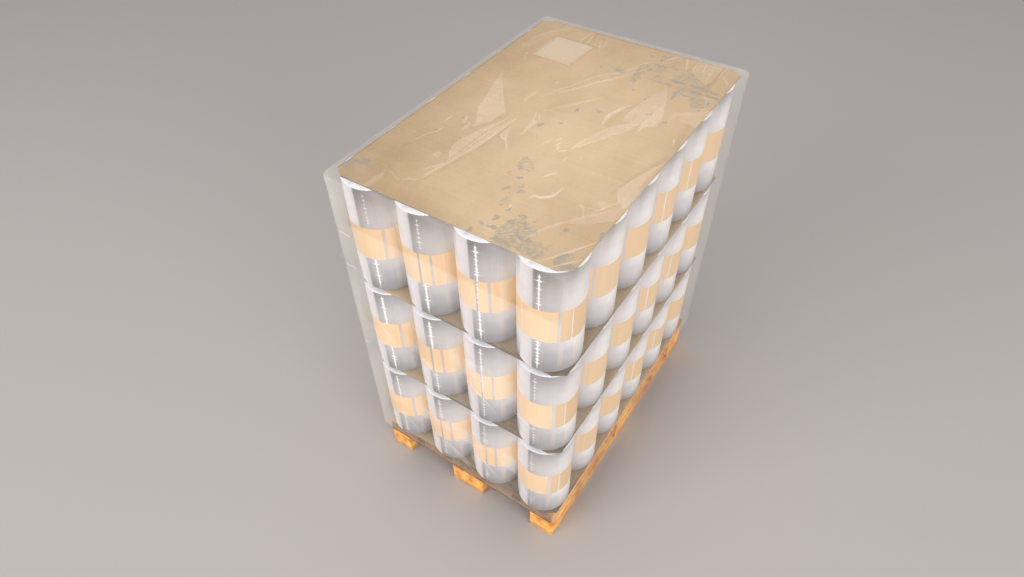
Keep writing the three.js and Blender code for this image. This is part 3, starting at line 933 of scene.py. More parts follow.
# Angles over which the ink changes by a step, as painted shade and light. On the near side it goes deeper,
# as painted shade, at the corner by two steps. At the left end it goes paler twice, painted light against
# the orange that the next can casts, and on one can of the top layer it starts a step deeper, as painted
# shade.
near_deg, paler_deg, palest_deg = (219, 227), {1: (210, 231), 2: (210, 231), 3: (222, 231)}, (231, 246)
deep_can, deep_deg = (3, 3), (190, 215)      # its row and its layer
ink_wave_mm, ink_spread = (26, 26, 260), 0.24


def lacquer():
    material, tree, shader = new_material("peach_lacquer_print", Roughness=0.62, IOR=1.5)
    bands = waves(tree, kept_place(tree, "can_place"), ink_wave_mm)
    uneven = times_plus(tree, bands, ink_spread, -ink_spread / 2)
    level = maths(tree, "ADD", uneven, kept_number(tree, "ink"))
    drive(tree, shader, Base_Color=ramp(tree, level, lacquer_inks))
    return material


def ink_shade_level(i, j, layer, place):
    """Which ink tone a place takes, as painted shade and light: deeper on the near side, paler where the
    next can tints its light.
    """
    angle = turn_of(place)
    if j == 0:
        return plain_ink - (2 if i == 0 else 1) * ink_step * rise(angle, *near_deg)
    if i > 0:
        return plain_ink
    level = ink_step + ink_step * rise(angle, *deep_deg) if (j, layer) == deep_can else plain_ink
    return level + ink_step * rise(angle, *paler_deg[layer]) + ink_step * rise(angle, *palest_deg)


peach = lacquer()
for layer in layers:
    turned_deg = -band_layer_deg * (layers[-1] - layer)
    panels = [
        (i, j, x, y, panel)
        for i, j, x, y in stands
        for panel in lacquer_band(lines_by_stand.get((i, j), lines_one), turned_deg)]
    band, places = layer_piece("lacquer_bands", layer, [(*panel, x, y) for i, j, x, y, panel in panels],
                               "canisters", peach, smooth_angle=30)
    keep_values(band, "can_place", places)
    keep_values(band, "ink", [
        ink_shade_level(i, j, layer, place) for i, j, x, y, panel in panels for place in panel[0]])
print("lacquer panels in a layer:", len(panels))

# %% [markdown]
# ## The weld
#
# The wall's sheet meets at one upright weld, on the side that faces the left end. The weld is real, but its
# bright white is a painted highlight: a strip a few millimetres wide, with painted glints that reach
# sideways at a few heights, so that it reads as a ragged white line. Where the lacquer crosses it, the
# lacquer hides it.

# %% Where the weld shows
weld_proud_mm = 0.15         # less than the lacquer, which hides it where it crosses
weld_edge_proud_mm = 0.02
weld_half_width_mm, weld_least_half_mm = 2.8, 0.03
weld_columns = (-1, -0.35, 0.35, 1)     # places across the bead, as shares of its half width
weld_step_mm = 1.6
weld_low_mm, weld_high_mm = 16, 408
weld_fade_low_mm, weld_fade_high_mm = 40, 12
weld_turnover_mm = (225, 165)    # from the strength above the print to the one below it
# Glint ticks, painted highlight beside the weld: height and sideways reach, in mm. The five close ones show
# where a bare line leaves the weld open.
glint_ticks = ((397, 7), (381, 10), (366, 7), (352, 13), (335, 9), (318, 9), (307, 6), (296, 9), (257, 5),
           (239, 5), (220, 5), (205, 5), (187, 5), (142, 6), (130, 8), (112, 8), (95, 12), (80, 8),
           (66, 11), (50, 8))
glint_tick_height_mm = 7
# Noise along the bead and from burst to burst: its wave, what it is added to, and how much it adds.
bead_wave_mm, bead_plain, bead_swing, bead_least = 4, 0.85, 0.95, 0.25
burst_wave_mm, burst_plain, burst_swing, burst_seed = 7.3, 0.45, 2.8, 1.37
# How bright the bead's painted highlight runs above and below the print, per layer and row: 0 leaves only
# the glint ticks.
weld_strength = {
    3: ((1.0, 1.0), (1.0, 1.0), (0.2, 1.0), (0.1, 0.9)),
    2: ((0.12, 0.05), (0.6, 0.3), (1.3, 0.5), (1.3, 0.9)),
    1: ((0.1, 0.0), (0.2, 0.05), (0.25, 0.1), (0.6, 0.2))}
weld_least_cover = 0.75    # where the painted highlight is weakest, a thin bright smear is still left
glint_tick_strength = {3: (1.1, 1.0, 1.1, 1.2), 2: (1.3, 1.1, 1.0, 1.0), 1: (1.4, 1.4, 1.5, 1.7)}
print("bursts of spatter on a weld:", len(glint_ticks))


# %% Weld beads
def grid_faces(cells_x, cells_y):
    """Faces of a grid whose points are listed row by row."""
    step = cells_x + 1
    return [(k * step + i, k * step + i + 1, (k + 1) * step + i + 1, (k + 1) * step + i)
            for k in range(cells_y) for i in range(cells_x)]


def wall_radius(height_mm):
    """The can's radius at a height: the round foot, then the straight wall."""
    short = max(0.0, 1 - height_mm / foot_radius_mm)
    return can_radius_mm - foot_radius_mm * (1 - math.sqrt(1 - short * short))


def weld_bead(angle_deg, strengths, glint_scale, seed):
    """Points, faces and covers of one bead: a strip of three faces side by side, ragged by noise."""
    points, covers = [], []
    steps = int((weld_high_mm - weld_low_mm) / weld_step_mm)
    for step in range(steps + 1):
        height = weld_low_mm + (weld_high_mm - weld_low_mm) * step / steps
        low_share = rise(height, *weld_turnover_mm)
        strength = strengths[0] + (strengths[1] - strengths[0]) * low_share
        fade = min(1, (weld_high_mm - height) / weld_fade_high_mm, (height - weld_low_mm) / weld_fade_low_mm)
        swing = noise.noise(Vector((height / bead_wave_mm, seed, 0)))
        uneven = max(bead_least, bead_plain + bead_swing * swing)
        half = weld_half_width_mm * strength * fade * uneven
        for place, reach in glint_ticks:
            near = max(0.0, 1 - abs(height - place) / glint_tick_height_mm)
            burst = max(0.0, noise.noise(Vector((place / burst_wave_mm, burst_seed * seed, 0.5))))
            half += reach * (burst_plain + burst_swing * burst) * near ** 4 * glint_scale
        half_deg = math.degrees(max(half, weld_least_half_mm) / can_radius_mm)
        for column in weld_columns:
            proud = weld_proud_mm if abs(column) < 1 else weld_edge_proud_mm
            points.append(around(angle_deg + column * half_deg, wall_radius(height) + proud, height))
            covers.append(min(1.0, weld_least_cover + (1 - weld_least_cover) * strength))
    return points, grid_faces(len(weld_columns) - 1, steps), covers


# The weld's bright white is a painted highlight for the light that it catches.
def weld_painted_glint():
    material, tree, shader = new_material("tinplate_weld_painted_highlight", Roughness=0.3)
    glint_flecks = waves(tree, load_place(tree), (6, 6, 6))
    drive(tree, shader, Base_Color=ramp(tree, glint_flecks, ((0.3, "#FBFAFD"), (0.6, "#FFFFFF"))),
          Alpha=kept_number(tree, "cover"))
    return material


weld_highlight = weld_painted_glint()
for layer in layers[::-1]:
    beads = [
        weld_bead(weld_angle(i, j, layer), weld_strength[layer][j], glint_tick_strength[layer][j],
                  seed=10 * layer + 4 * i + j)
        for i, j, x, y in stands]
    welds, _ = layer_piece(
        "weld_beads", layer, [(*bead[:2], x, y) for bead, (i, j, x, y) in zip(beads, stands)],
        "canisters", weld_highlight, smooth_angle=60)
    keep_values(welds, "cover", [cover for bead in beads for cover in bead[2]])
print("weld faces in a layer:", len(welds.data.polygons))

# %% [markdown]
# ## Lids
#
# A pushed-on lid of white polyethylene: injection-moulded, smooth, a little waxy, with a rounded edge. It
# lets some light in, which keeps its shadows soft, so a touch of subsurface scattering belongs to it.

# %% Turn the lids
lid_low, lid_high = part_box("lids_layer_1")
lid_thickness_mm = (lid_high[2] - lid_low[2]) / MM
lid_round_mm, lid_foot_mm, lid_rim_mm = 1.0, 0.4, 12
lid_glow_mm = 4            # how far light travels inside the plastic
lid_reflection_place = (171, 87, lid_thickness_mm)      # angle, radius and height of a bluish mark beside the rim, a painted reflection
lid_reflection_core_mm, lid_reflection_reach_mm = 2, 13
lid_profile = [(0, 0), (can_radius_mm - lid_foot_mm, 0), (can_radius_mm, lid_foot_mm)]
for bend_deg in (0, 30, 60, 90):
    bend = math.radians(bend_deg)
    lid_profile.append((
        can_radius_mm - lid_round_mm * (1 - math.cos(bend)),
        lid_thickness_mm - lid_round_mm * (1 - math.sin(bend))))
lid_profile += [(can_radius_mm - lid_rim_mm, lid_thickness_mm), (0, lid_thickness_mm)]


def lid_plastic():
    material, tree, shader = new_material(
        "polyethylene_white", Roughness=0.42, IOR=1.51, Subsurface_Weight=0.12,
        Subsurface_Radius=(lid_glow_mm * MM,) * 3)
    away = add(tree, "VectorMath", {0: kept_place(tree, "can_place"), 1: around(*lid_reflection_place)},
               operation="DISTANCE").outputs["Value"]
    lid_reflection = span(tree, away, lid_reflection_core_mm * MM, lid_reflection_reach_mm * MM, 0.75, 0.0)
    drive(tree, shader, Base_Color=mixed(tree, lid_reflection, linear("#F7F8FE"), linear("#D6D5E8")))
    return material


white_plastic = lid_plastic()
lid_shape = turned(lid_profile, can_sides)
for layer in layers:
    lids, places = layer_piece("canister_lids", layer, [(*lid_shape, x, y) for i, j, x, y in stands],
                               "lids", white_plastic, smooth_angle=40)
    keep_values(lids, "can_place", places)
    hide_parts(f"lids_layer_{layer}")
print("lids turned:", len(layers) * len(stands))

# %% [markdown]
# ## The shrink film hood
#
# The hood is blown polyethylene film, a tenth of a millimetre thick. Hot air has pulled it flat over the
# top and straight down the walls, and drawn it in under the load, where it grips the pallet. It is a haze
# more than a colour: what lies behind it turns paler and greyer, and more so where the film lies double.
#
# Cloth simulation would crumple it like fabric, and this film is stretched tight. So the hood is one open
# sheet made directly: a grid on top, whose rim runs down as rows of points, and each point moves a little
# along the sheet's own outward direction. Creases ring the upright corners, where the film had most to
# shrink.

# %% The hood's form
hood_low, hood_high = (Vector(corner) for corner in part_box("film_hood"))
pallet_low, pallet_high = (Vector(corner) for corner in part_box("bottom_board_front"))
deck_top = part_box("deck_board_front")[1][2]
stringer_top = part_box("stringer_board_left")[1][2]
hood_corner_mm = (39, 23)        # the upright corners, along and across
hood_shoulder_mm = 6
hem_corner_mm = (4, 4)
hem_gap_mm = 1.3                 # from the pallet's side to the film
tuck_rise_mm = 21                # the walls turn in this far above the deck
tuck_steps, hem_steps = 6, 3
cells_x, cells_y = 146, 98
wall_step_mm = 11.5


def plan_point(u, v, half, corner):
    """A point of the hood's plan. u and v run from -1 to 1 over a rectangle whose corners get rounded."""
    reach = max(abs(u), abs(v))
    if reach == 0:
        return Vector((0, 0))
    a, b = abs(u) / reach, abs(v) / reach
    flat_a, flat_b = 1 - corner[0] / half[0], 1 - corner[1] / half[1]
    x, y = a * half[0], b * half[1]
    if a >= b and b > flat_b:
        bend = math.radians(45) * (b - flat_b) / (1 - flat_b)
    elif b > a and a > flat_a:
        bend = math.radians(90) - math.radians(45) * (a - flat_a) / (1 - flat_a)
    else:
        bend = None
    if bend is not None:
        x = half[0] - corner[0] * (1 - math.cos(bend))
        y = half[1] - corner[1] * (1 - math.sin(bend))
    return Vector((math.copysign(x, u), math.copysign(y, v))) * reach


def row(height, inset_mm, draw=0.0):
    """One row round the hood: its height, its half sizes and its corners. draw 1 is snug on the pallet."""
    wall_half = [hood_high.x - inset_mm * MM, hood_high.y - inset_mm * MM]
    wall_corner = [(size - inset_mm) * MM for size in hood_corner_mm]
    hem_half = [pallet_high.x + hem_gap_mm * MM, -pallet_low.y + hem_gap_mm * MM]
    half = [a + (b - a) * draw for a, b in zip(wall_half, hem_half)]
    corner = [a + (b * MM - a) * draw for a, b in zip(wall_corner, hem_corner_mm)]
    return height, half, corner


tuck_top = deck_top + tuck_rise_mm * MM
rows = []
for bend_deg in (0, 30, 60, 90):
    bend = math.radians(bend_deg)
    rows.append(row(hood_high.z - hood_shoulder_mm * MM * (1 - math.cos(bend)),
                    hood_shoulder_mm * (1 - math.sin(bend))))
wall_top = rows[-1][0]
wall_count = int((wall_top - tuck_top) / (wall_step_mm * MM))
for step in range(1, wall_count + 1):
    rows.append(row(wall_top + (tuck_top - wall_top) * step / wall_count, 0))
for step in range(1, tuck_steps + 1):
    share = step / tuck_steps
    rows.append(row(tuck_top + (stringer_top - tuck_top) * share, 0, share * share * (3 - 2 * share)))
for step in range(1, hem_steps + 1):
    rows.append(row(stringer_top + (hood_low.z - stringer_top) * step / hem_steps, 0, 1))
print("hood rows:", len(rows), "from", round(rows[0][0], 4), "down to", round(rows[-1][0], 4), "m")

# %% Wrinkles
# Pinches round the upright corners: which corner (signs of X and Y), height and depth, in mm.
pinches = (
    ((-1, 1), 1224, 3.2), ((-1, 1), 1083, 2.8), ((-1, 1), 640, 2.0), ((-1, 1), 330, 2.4),
    ((1, -1), 1180, 2.4), ((1, -1), 760, 2.0), ((1, -1), 395, 2.6),
    ((1, 1), 1260, 2.6), ((1, 1), 905, 2.2), ((1, 1), 480, 2.4))
pinch_reach_mm, pinch_half_mm, pinch_slope = 85, 7, 0.12
# Waves of the film: height and length in mm, and a seed.
broad_wave, middle_wave, gather_wave = (1.4, 300, 2), (0.5, 110, 4), (1.1, 34, 6)
top_wave, top_ripple = (0.35, 95, 1), (0.18, 34, 7)
gather_rise_mm = 130             # the gathers fade over this height above the tuck
gather_run = 0.2                 # and change this much more slowly up the wall than round it
gather_hem_loss = 0.55           # they are this much flatter at the hem
top_calm_mm, wall_calm_mm = 50, 60     # beside the top's rim the film lies still


def wave(place, height_mm, length_mm, seed):
    return height_mm * rough(place, length_mm, seed)


def from_corner(place, side_x, side_y):
    """How far a place lies from an upright corner of the hood, in mm."""
    return math.hypot(place.x - side_x * hood_high.x, place.y - side_y * hood_high.y) / MM


def wall_push(place, share):
    """How far a point of the wall moves outward, in mm. share is 0 on the wall and 1 at the hem."""
    broad = wave(place, *broad_wave) + wave(place, *middle_wave)
    low = math.exp(-(place.z - tuck_top) / (gather_rise_mm * MM))
    gathers = wave((place.x, place.y, place.z * gather_run), *gather_wave) * min(1.0, low)
    pinch = 0
    for sides, height, depth in pinches:
        away = from_corner(place, *sides)
        sag = (place.z / MM - height + pinch_slope * away) / pinch_half_mm
        pinch += depth * max(0.0, 1 - away / pinch_reach_mm) * math.exp(-sag * sag)
    calm = 1 - share
    return (broad - broad_wave[0]) * calm + gathers * (1 - gather_hem_loss * share) - pinch * calm


middle_of_wall = Vector((hood_low.x, 0, 0.7))
print("push at the middle of the left wall, mm:", round(wall_push(middle_of_wall, 0), 2))

# %% Haze and painted shade on the walls
# Where the film of the left wall is hazier, or darker by painted shade: range across, range of heights,
# haze, painted shade. The strip from 1262 mm up is the painted shadow of the top sheet's edge; negative
# amounts take some of it off again.
wall_patches = (
    (-400, 345, 1262, 1430, 0.0, 1.0), (296, 345, 1284, 1430, 0.0, -0.85), (96, 146, 1284, 1430, 0.0, -0.85),
    (-108, -58, 1284, 1430, 0.0, -0.85), (-304, -250, 1284, 1430, 0.0, -0.85),
    (-400, 345, 1130, 1262, 0.03, 0.0), (5, 235, 775, 905, 0.0, 0.8), (-48, 5, 848, 905, 0.14, 0.0),
    (-185, -60, 770, 905, 0.13, 0.0), (-105, -55, 822, 905, 0.12, 0.0), (-250, -185, 790, 905, 0.10, 0.0),
    (60, 320, 690, 740, 0.06, 0.0), (235, 360, 820, 850, 0.0, 0.6), (20, 365, 300, 390, 0.0, 0.6),
    (-100, 205, 395, 470, 0.10, 0.0), (-45, 0, 370, 470, 0.08, 0.0), (-100, -50, 290, 420, 0.18, 0.0),
    (-250, -190, 370, 470, 0.20, 0.0), (-180, -120, 300, 420, 0.0, 0.6), (-400, -260, 300, 420, 0.0, 0.4))
left_wall_mm, patch_edge_mm = 25, 9
hazy_corners, corner_haze, corner_reach_mm = ((-1, 1), (1, -1)), 0.07, 120
hem_haze = -0.13                 # what lies behind the hem is near, so it shows more clearly


def wall_haze(place, share):
    """Extra haze and painted shade: on the left wall's patches, and haze round the upright corners, where
    the film shrank most."""
    value, film_shade = hem_haze * share, 0.0
    if place.x < hood_low.x + left_wall_mm * MM:
        for across_low, across_high, low, high, hazier, shadier in wall_patches:
            inside = min(place.y / MM - across_low, across_high - place.y / MM,
                         place.z / MM - low, high - place.z / MM)
            depth = rise(inside, -patch_edge_mm / 2, patch_edge_mm / 2)
            value += hazier * depth
            film_shade += shadier * depth
    for sides in hazy_corners:
        near = max(0.0, 1 - from_corner(place, *sides) / corner_reach_mm)
        value += corner_haze * near ** 0.5 * (1 - share)
    return value, film_shade


print("haze and yellowing at the middle of the left wall:", wall_haze(middle_of_wall, 0))

# %% The hood's mesh
top_half, top_corner = rows[0][1:]
points, haze = [], []     # haze keeps pairs: extra haze and painted shade
for k in range(cells_y + 1):
    for i in range(cells_x + 1):
        plan = plan_point(2 * i / cells_x - 1, 2 * k / cells_y - 1, top_half, top_corner)
        to_rim = min(top_half[0] - abs(plan.x), top_half[1] - abs(plan.y))
        inside = min(1.0, to_rim / (top_calm_mm * MM))
        ripple = inside * (wave((*plan, 0), *top_wave) + wave((*plan, 0), *top_ripple))
        points.append(Vector((*plan, hood_high.z + (ripple - top_wave[0] * inside) * MM)))
        haze.append((0.0, 0.0))
faces = grid_faces(cells_x, cells_y)

rim = [(i, 0) for i in range(cells_x)] + [(cells_x, k) for k in range(cells_y)]
rim += [(i, cells_y) for i in range(cells_x, 0, -1)] + [(0, k) for k in range(cells_y, 0, -1)]
above = [k * (cells_x + 1) + i for i, k in rim]
for height, half, corner in rows[1:]:
    plans = [plan_point(2 * i / cells_x - 1, 2 * k / cells_y - 1, half, corner) for i, k in rim]
    share = rise(height, tuck_top, stringer_top)
    below = [len(points) + index for index in range(len(rim))]
    for index, plan in enumerate(plans):
        run = plans[(index + 1) % len(plans)] - plans[index - 1]
        outward = Vector((run.y, -run.x, 0)).normalized()
        place = Vector((*plan, height))
        push = wall_push(place, share) * rise(wall_top - height, 0, wall_calm_mm * MM)
        points.append(place + outward * push * MM)
        haze.append(wall_haze(place, share))
    for index in range(len(rim)):
        after = (index + 1) % len(rim)
        faces.append((above[index], below[index], below[after], above[after]))
    above = below
print("film:", len(faces), "faces")

# %% [markdown]
# Film is judged by its haze. Blown polyethylene has an IOR of about 1.5 and a smooth skin, so its highlights
# are sharp, but thin creases scatter them. Two numbers kept on the mesh say how much hazier a place is than
# a single flat layer, a little round the upright corners and in patches of the left wall, most on a fold,
# and how much painted shade darkens it, in patches of the left wall.

# %% The film material
film_cloud_mm = (160, 160, 260)
film_line_mm = (34, 34, 300)     # draw lines, where the film ran thin while it shrank
over_board = (1.418, 1.421)      # between these heights the film goes over from the walls to the top
film_clear, film_cloudy, line_haze = 0.10, 0.17, 0.07    # alpha of one layer, and what a draw line adds


def shrink_film():
    material, tree, shader = new_material("polyethylene_shrink_film", Roughness=0.22, IOR=1.5)
    place = load_place(tree)
    top_share = span(tree, parts_of(tree, place)["Z"], *over_board)
    # On top the film's tint goes warmer: painted light, the board's colour scattered up through the film.
    tint = mixed(tree, top_share, linear("#FFFAF3"), linear("#FFF3E2"))
    lines = waves(tree, place, film_line_mm, 3.0)
    cloudy = span(tree, waves(tree, place, film_cloud_mm), 0.3, 0.7, film_clear, film_cloudy)
    single = maths(tree, "ADD", cloudy, span(tree, lines, 0.55, 0.75, 0.0, line_haze))
    drive(tree, shader, Base_Color=mixed(tree, kept_number(tree, "painted_shade"), tint, linear("#C2AF98")),
          Alpha=maths(tree, "ADD", single, kept_number(tree, "haze"), use_clamp=True),
          Normal=relief(tree, lines, 0.4, 1.2))
    return material


film = shrink_film()
hood = make_piece("film_hood_skin", points, faces, film, smooth_angle=60)
keep_values(hood, "haze", [pair[0] for pair in haze])
keep_values(hood, "painted_shade", [pair[1] for pair in haze])
hood.visible_shadow = False    # haze this thin scatters the light forward, so what lies under it stays lit
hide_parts("film_hood")
print("film material:", film.name)

# %% [markdown]
# ## Folds in the film
#
# Where the hood had spare width, it lies over itself in flat flaps and narrow creases: a kite near the left
# middle, long bundles across the top, fans at the right side. A fold has a crisp edge that a height pattern
# on the hood's own grid would blur, so each is its own strip of film, laid nearly a millimetre above the
# hood, with more haze. Their places are points in mm along and across the top.

# %% Where the folds lie
# Each flap: how much hazier it is than a single film, and its outline.
flaps = (
    (0.05, ((165, 310), (100, 294), (50, 281), (0, 263), (-80, 243), (-150, 200), (-185, 191), (-150, 172),
            (-130, 158), (-95, 158), (-60, 150), (-50, 155), (0, 198), (50, 235), (100, 270), (140, 298))),
    (0.08, ((-362, 147), (-340, 163), (-305, 180), (-258, 180), (-190, 163), (-100, 130), (-60, 119),
            (-120, 128), (-190, 142), (-260, 146))),
    (0.12, ((-360, 142), (-190, 134), (-100, 112), (-190, 126), (-280, 134), (-340, 137))),
    (0.12, ((-482, 156), (-455, 160), (-400, 150), (-340, 134), (-260, 128), (-190, 122), (-120, 112),
            (-70, 103), (-70, 98), (-120, 101), (-190, 105), (-260, 115), (-330, 125), (-400, 137))),
    (0.11, ((-108, 93), (-178, 92), (-180, 77), (-197, 60), (-252, 13), (-188, 60), (-150, 78))),
    (0.20, ((-155, 40), (-100, 45), (-48, 51), (-45, 34), (-115, 35))),
    (0.06, ((22, 138), (60, 147), (90, 147), (106, 134), (100, 130), (50, 134))),
    (0.05, ((-190, 229), (-165, 240), (-135, 242), (-150, 231), (-175, 222))),
    (0.03, ((-232, 210), (-195, 214), (-163, 214), (-190, 195))),
    (0.01, ((-378, 178), (-373, 203), (-345, 200), (-350, 185))),
    (-0.01, ((-597, 276), (-540, 272), (-500, 271), (-545, 251), (-597, 262))),
    (0.15, ((28, -147), (60, -141), (95, -134), (112, -135), (150, -145), (205, -172), (150, -156),
            (100, -147), (60, -147))),
    (0.04, ((100, -192), (130, -184), (190, -188), (250, -197), (300, -207), (352, -226), (300, -250),
            (250, -264), (190, -283), (128, -288), (108, -268), (62, -257), (100, -250), (92, -225))),
    (0.03, ((62, -257), (100, -249), (190, -252), (260, -258), (190, -283), (128, -288), (108, -268))),
    (0.05, ((-128, -130), (-100, -128), (-60, -140), (-20, -155), (30, -172), (65, -190), (88, -207),
            (100, -240), (60, -232), (35, -220), (0, -198), (-40, -177), (-75, -157), (-110, -139))),
    (0.06, ((-295, -388), (-262, -358), (-228, -342), (-150, -361), (-50, -391), (-20, -399),
            (-110, -390), (-185, -384), (-205, -402), (-290, -402))),
    (-0.02, ((-430, -300), (-395, -300), (-345, -345), (-290, -388), (-345, -402), (-400, -345))),
    (0.03, ((-312, -320), (-298, -322), (-290, -360), (-330, -345))),
    (0.06, ((203, -306), (222, -308), (262, -352), (302, -402), (262, -402), (235, -358))),
    (0.0, ((195, -335), (215, -335), (255, -400), (180, -400))),
    (-0.03, ((485, -263), (520, -247), (600, -240), (600, -330), (480, -332), (450, -318))),
    (-0.07, ((320, 345), (380, 362), (450, 355), (520, 325), (600, 290), (600, 262), (480, 300),
             (380, 325))))
# Creases: half width in mm, how much hazier than a single film, and the line. Most are folds of the film;
# the ones at (-392, -152), (-287, -134), (-194, -143) and (56, -377) and the spot at (-456, -127) are
# painted highlights, glints drawn as hazier film.
creases = (
    (2.2, 0.14, ((-362, 305), (-340, 298), (-300, 290), (-280, 284), (-262, 268), (-240, 267), (-232, 272))),
    (2.4, 0.09, ((-205, 283), (-185, 284), (-158, 280))),
    (1.6, 0.06, ((-500, 256), (-513, 228), (-522, 206))),
    (3.4, 0.13, ((-519, 204), (-505, 190), (-497, 175), (-488, 162))),
    (3.2, 0.12, ((-449, 184), (-430, 172), (-405, 157), (-383, 147))),
    (2.4, 0.20, ((-330, 122), (-260, 113), (-190, 108), (-110, 101))),
    (1.8, 0.08, ((160, 308), (100, 268), (50, 234), (0, 197), (-50, 155))),
    (2.0, 0.13, ((-250, 12), (-180, 65), (-108, 92))), (2.4, 0.14, ((-48, 51), (-25, 58), (-3, 69))),
    (2.4, 0.12, ((-40, 34), (-20, 44), (3, 57))), (2.0, 0.08, ((14, 52), (24, 42), (32, 30))),
    (5.0, 0.07, ((35, 30), (52, 26), (75, 10), (98, -8), (150, -42), (195, -72))),
    (4.0, 0.06, ((90, 112), (180, 64), (220, 48), (262, 32), (318, 6), (350, -25), (382, -46), (415, -66),
                 (442, -76), (474, -82), (492, -104), (512, -142))),
    (4.6, 0.08, ((80, 108), (105, 96), (140, 68), (180, 42), (222, 17), (262, -3), (300, -28), (350, -60),
                 (400, -85), (432, -103), (462, -114), (482, -138))),
    (2.8, 0.05, ((505, -140), (540, -143), (562, -156), (590, -178))), (3.4, 0.10, ((182, 108), (208, 108))),
    (2.0, 0.18, ((-152, -42), (-130, -49), (-108, -56))), (2.4, 0.20, ((-113, -68), (-98, -74), (-86, -80))),
    (2.8, 0.20, ((-142, -84), (-108, -85))), (2.4, 0.20, ((-152, -96), (-126, -93))),
    (2.8, 0.22, ((-150, -98), (-146, -114), (-130, -128))), (2.2, 0.18, ((-194, -143), (-168, -142))),
    (2.6, 0.12, ((-152, -182), (-141, -175))),
    (1.8, 0.09, ((-128, -130), (-60, -139), (30, -171), (88, -206), (100, -245))),
    (2.2, 0.17, ((-122, -133), (-75, -156), (-30, -180), (-5, -195))),
    (2.4, 0.12, ((28, -147), (95, -135), (150, -146), (205, -172))),
    (1.6, 0.08, ((100, -191), (190, -187), (300, -206), (352, -225), (410, -262))),
    (1.6, 0.08, ((62, -257), (108, -268), (128, -288), (190, -283), (300, -250))),
    (5.2, 0.34, ((-392, -152), (-374, -157), (-372, -176), (-352, -197), (-335, -204), (-300, -208))),
    (3.8, 0.32, ((-287, -134), (-268, -143), (-248, -158))), (3.4, 0.20, ((-456, -127), (-440, -127))),
    (3.0, 0.20, ((56, -377), (76, -375), (92, -365))),
    (4.0, 0.05, ((-597, -208), (-545, -232), (-500, -246), (-450, -272), (-400, -306), (-350, -345),
                 (-300, -372))),
    (2.8, 0.18, ((-597, -308), (-540, -343), (-500, -368), (-448, -400))),
    (2.4, 0.18, ((-597, -344), (-560, -373), (-528, -400))),
    (2.4, 0.15, ((-344, -279), (-347, -298), (-380, -315))),
    (2.0, 0.09, ((-380, -315), (-350, -332), (-330, -342), (-250, -380))),
    (1.8, 0.10, ((-345, -300), (-338, -320), (-331, -337))),
    (1.8, 0.10, ((-262, -358), (-228, -342), (-150, -361), (-50, -391))),
    (1.6, 0.09, ((-300, -380), (-270, -366), (-238, -350))), (1.6, 0.09, ((-290, -392), (-236, -366))),
    (3.4, 0.10, ((505, -226), (540, -216), (600, -193))),
    (2.0, 0.09, ((485, -263), (520, -247), (600, -240))),
    (2.0, 0.09, ((465, -302), (530, -282), (600, -268))),
    (1.6, 0.05, ((450, -318), (530, -305), (600, -300))),
    (2.0, 0.09, ((500, -346), (545, -341), (600, -341))),
    (2.4, 0.10, ((478, -390), (500, -376), (530, -350))),
    (2.0, 0.09, ((268, -335), (292, -372), (305, -388))),
    (2.0, 0.09, ((305, -375), (345, -368), (378, -346))),
    (2.2, 0.10, ((405, -400), (418, -392), (430, -384))), (2.6, 0.07, ((492, 190), (530, 188), (600, 186))),
    (3.0, 0.07, ((495, 160), (540, 168), (600, 176))), (3.0, 0.08, ((465, 99), (500, 112), (560, 135))),
    (2.2, 0.08, ((480, 91), (520, 98), (565, 110))), (3.0, 0.04, ((275, 290), (295, 302), (335, 312))),
    (2.6, 0.06, ((322, 297), (360, 290), (450, 285), (495, 283))))
# Light streaks down the left wall: half width, haze, and the line as places across and heights. The first
# eight are painted reflections across the cans; the last three are creases by the corner.
wall_streaks = (
    (5.0, 0.09, ((150, 815), (60, 700))), (6.0, 0.09, ((90, 330), (-60, 235))),
    (4.0, 0.09, ((70, 300), (-70, 200))), (5.0, 0.09, ((-60, 790), (-180, 690))),
    (5.0, 0.08, ((330, 880), (250, 790))), (5.0, 0.08, ((-90, 350), (-170, 270))),
    (5.0, 0.08, ((-240, 770), (-330, 700))), (4.0, 0.08, ((310, 380), (200, 270))),
    (2.6, 0.20, ((396, 1221), (370, 1219), (340, 1216))), (2.6, 0.20, ((396, 1083), (345, 1080))),
    (2.6, 0.14, ((396, 700), (378, 696))))
print(len(flaps), "flaps,", len(creases), "creases and", len(wall_streaks), "streaks")

# %% Shapes of flaps and creases
fold_lift_mm = 0.7
crease_rise_mm = 1.0
crease_step_mm = 14
crease_gain = 1.4            # a crease scatters more light than its flat width tells
crease_spread = 1.2
crease_ridge = 0.2           # where the ridge lies across a crease: -1 and 1 are its edges
crease_end_loss = 0.10       # a crease's thin ends are this much clearer
crease_tip, crease_blunt = 0.4, 0.6     # the ends stop short of a point, and the sides bulge
flap_cuts, flap_rise_mm, flap_wave_mm = 3, 0.5, 45
flap_haze_gain, flap_cloud, flap_cloud_mm = 0.025, 0.04, 40


def on_top(line_point, lift_mm):
    return Vector((line_point[0] * MM, line_point[1] * MM, hood_high.z + lift_mm * MM))


def on_left_wall(line_point, lift_mm):
    return Vector((hood_low.x - lift_mm * MM, line_point[0] * MM, line_point[1] * MM))


def smooth_line(line, step_mm):
    """Points along a rounded line through the given ones."""
    line = [Vector(point) for point in line]
    ends = [2 * line[0] - line[1], *line, 2 * line[-1] - line[-2]]
    result = []
    for a, b, c, d in zip(ends, ends[1:], ends[2:], ends[3:]):
        steps = max(2, int((c - b).length / step_mm))
        for step in range(steps):
            t = step / steps
            result.append(0.5 * (2 * b + (c - a) * t + (2 * a - 5 * b + 4 * c - d) * t * t
                                 + (3 * b - 3 * c + d - a) * t ** 3))
    return result + [ends[-2]]


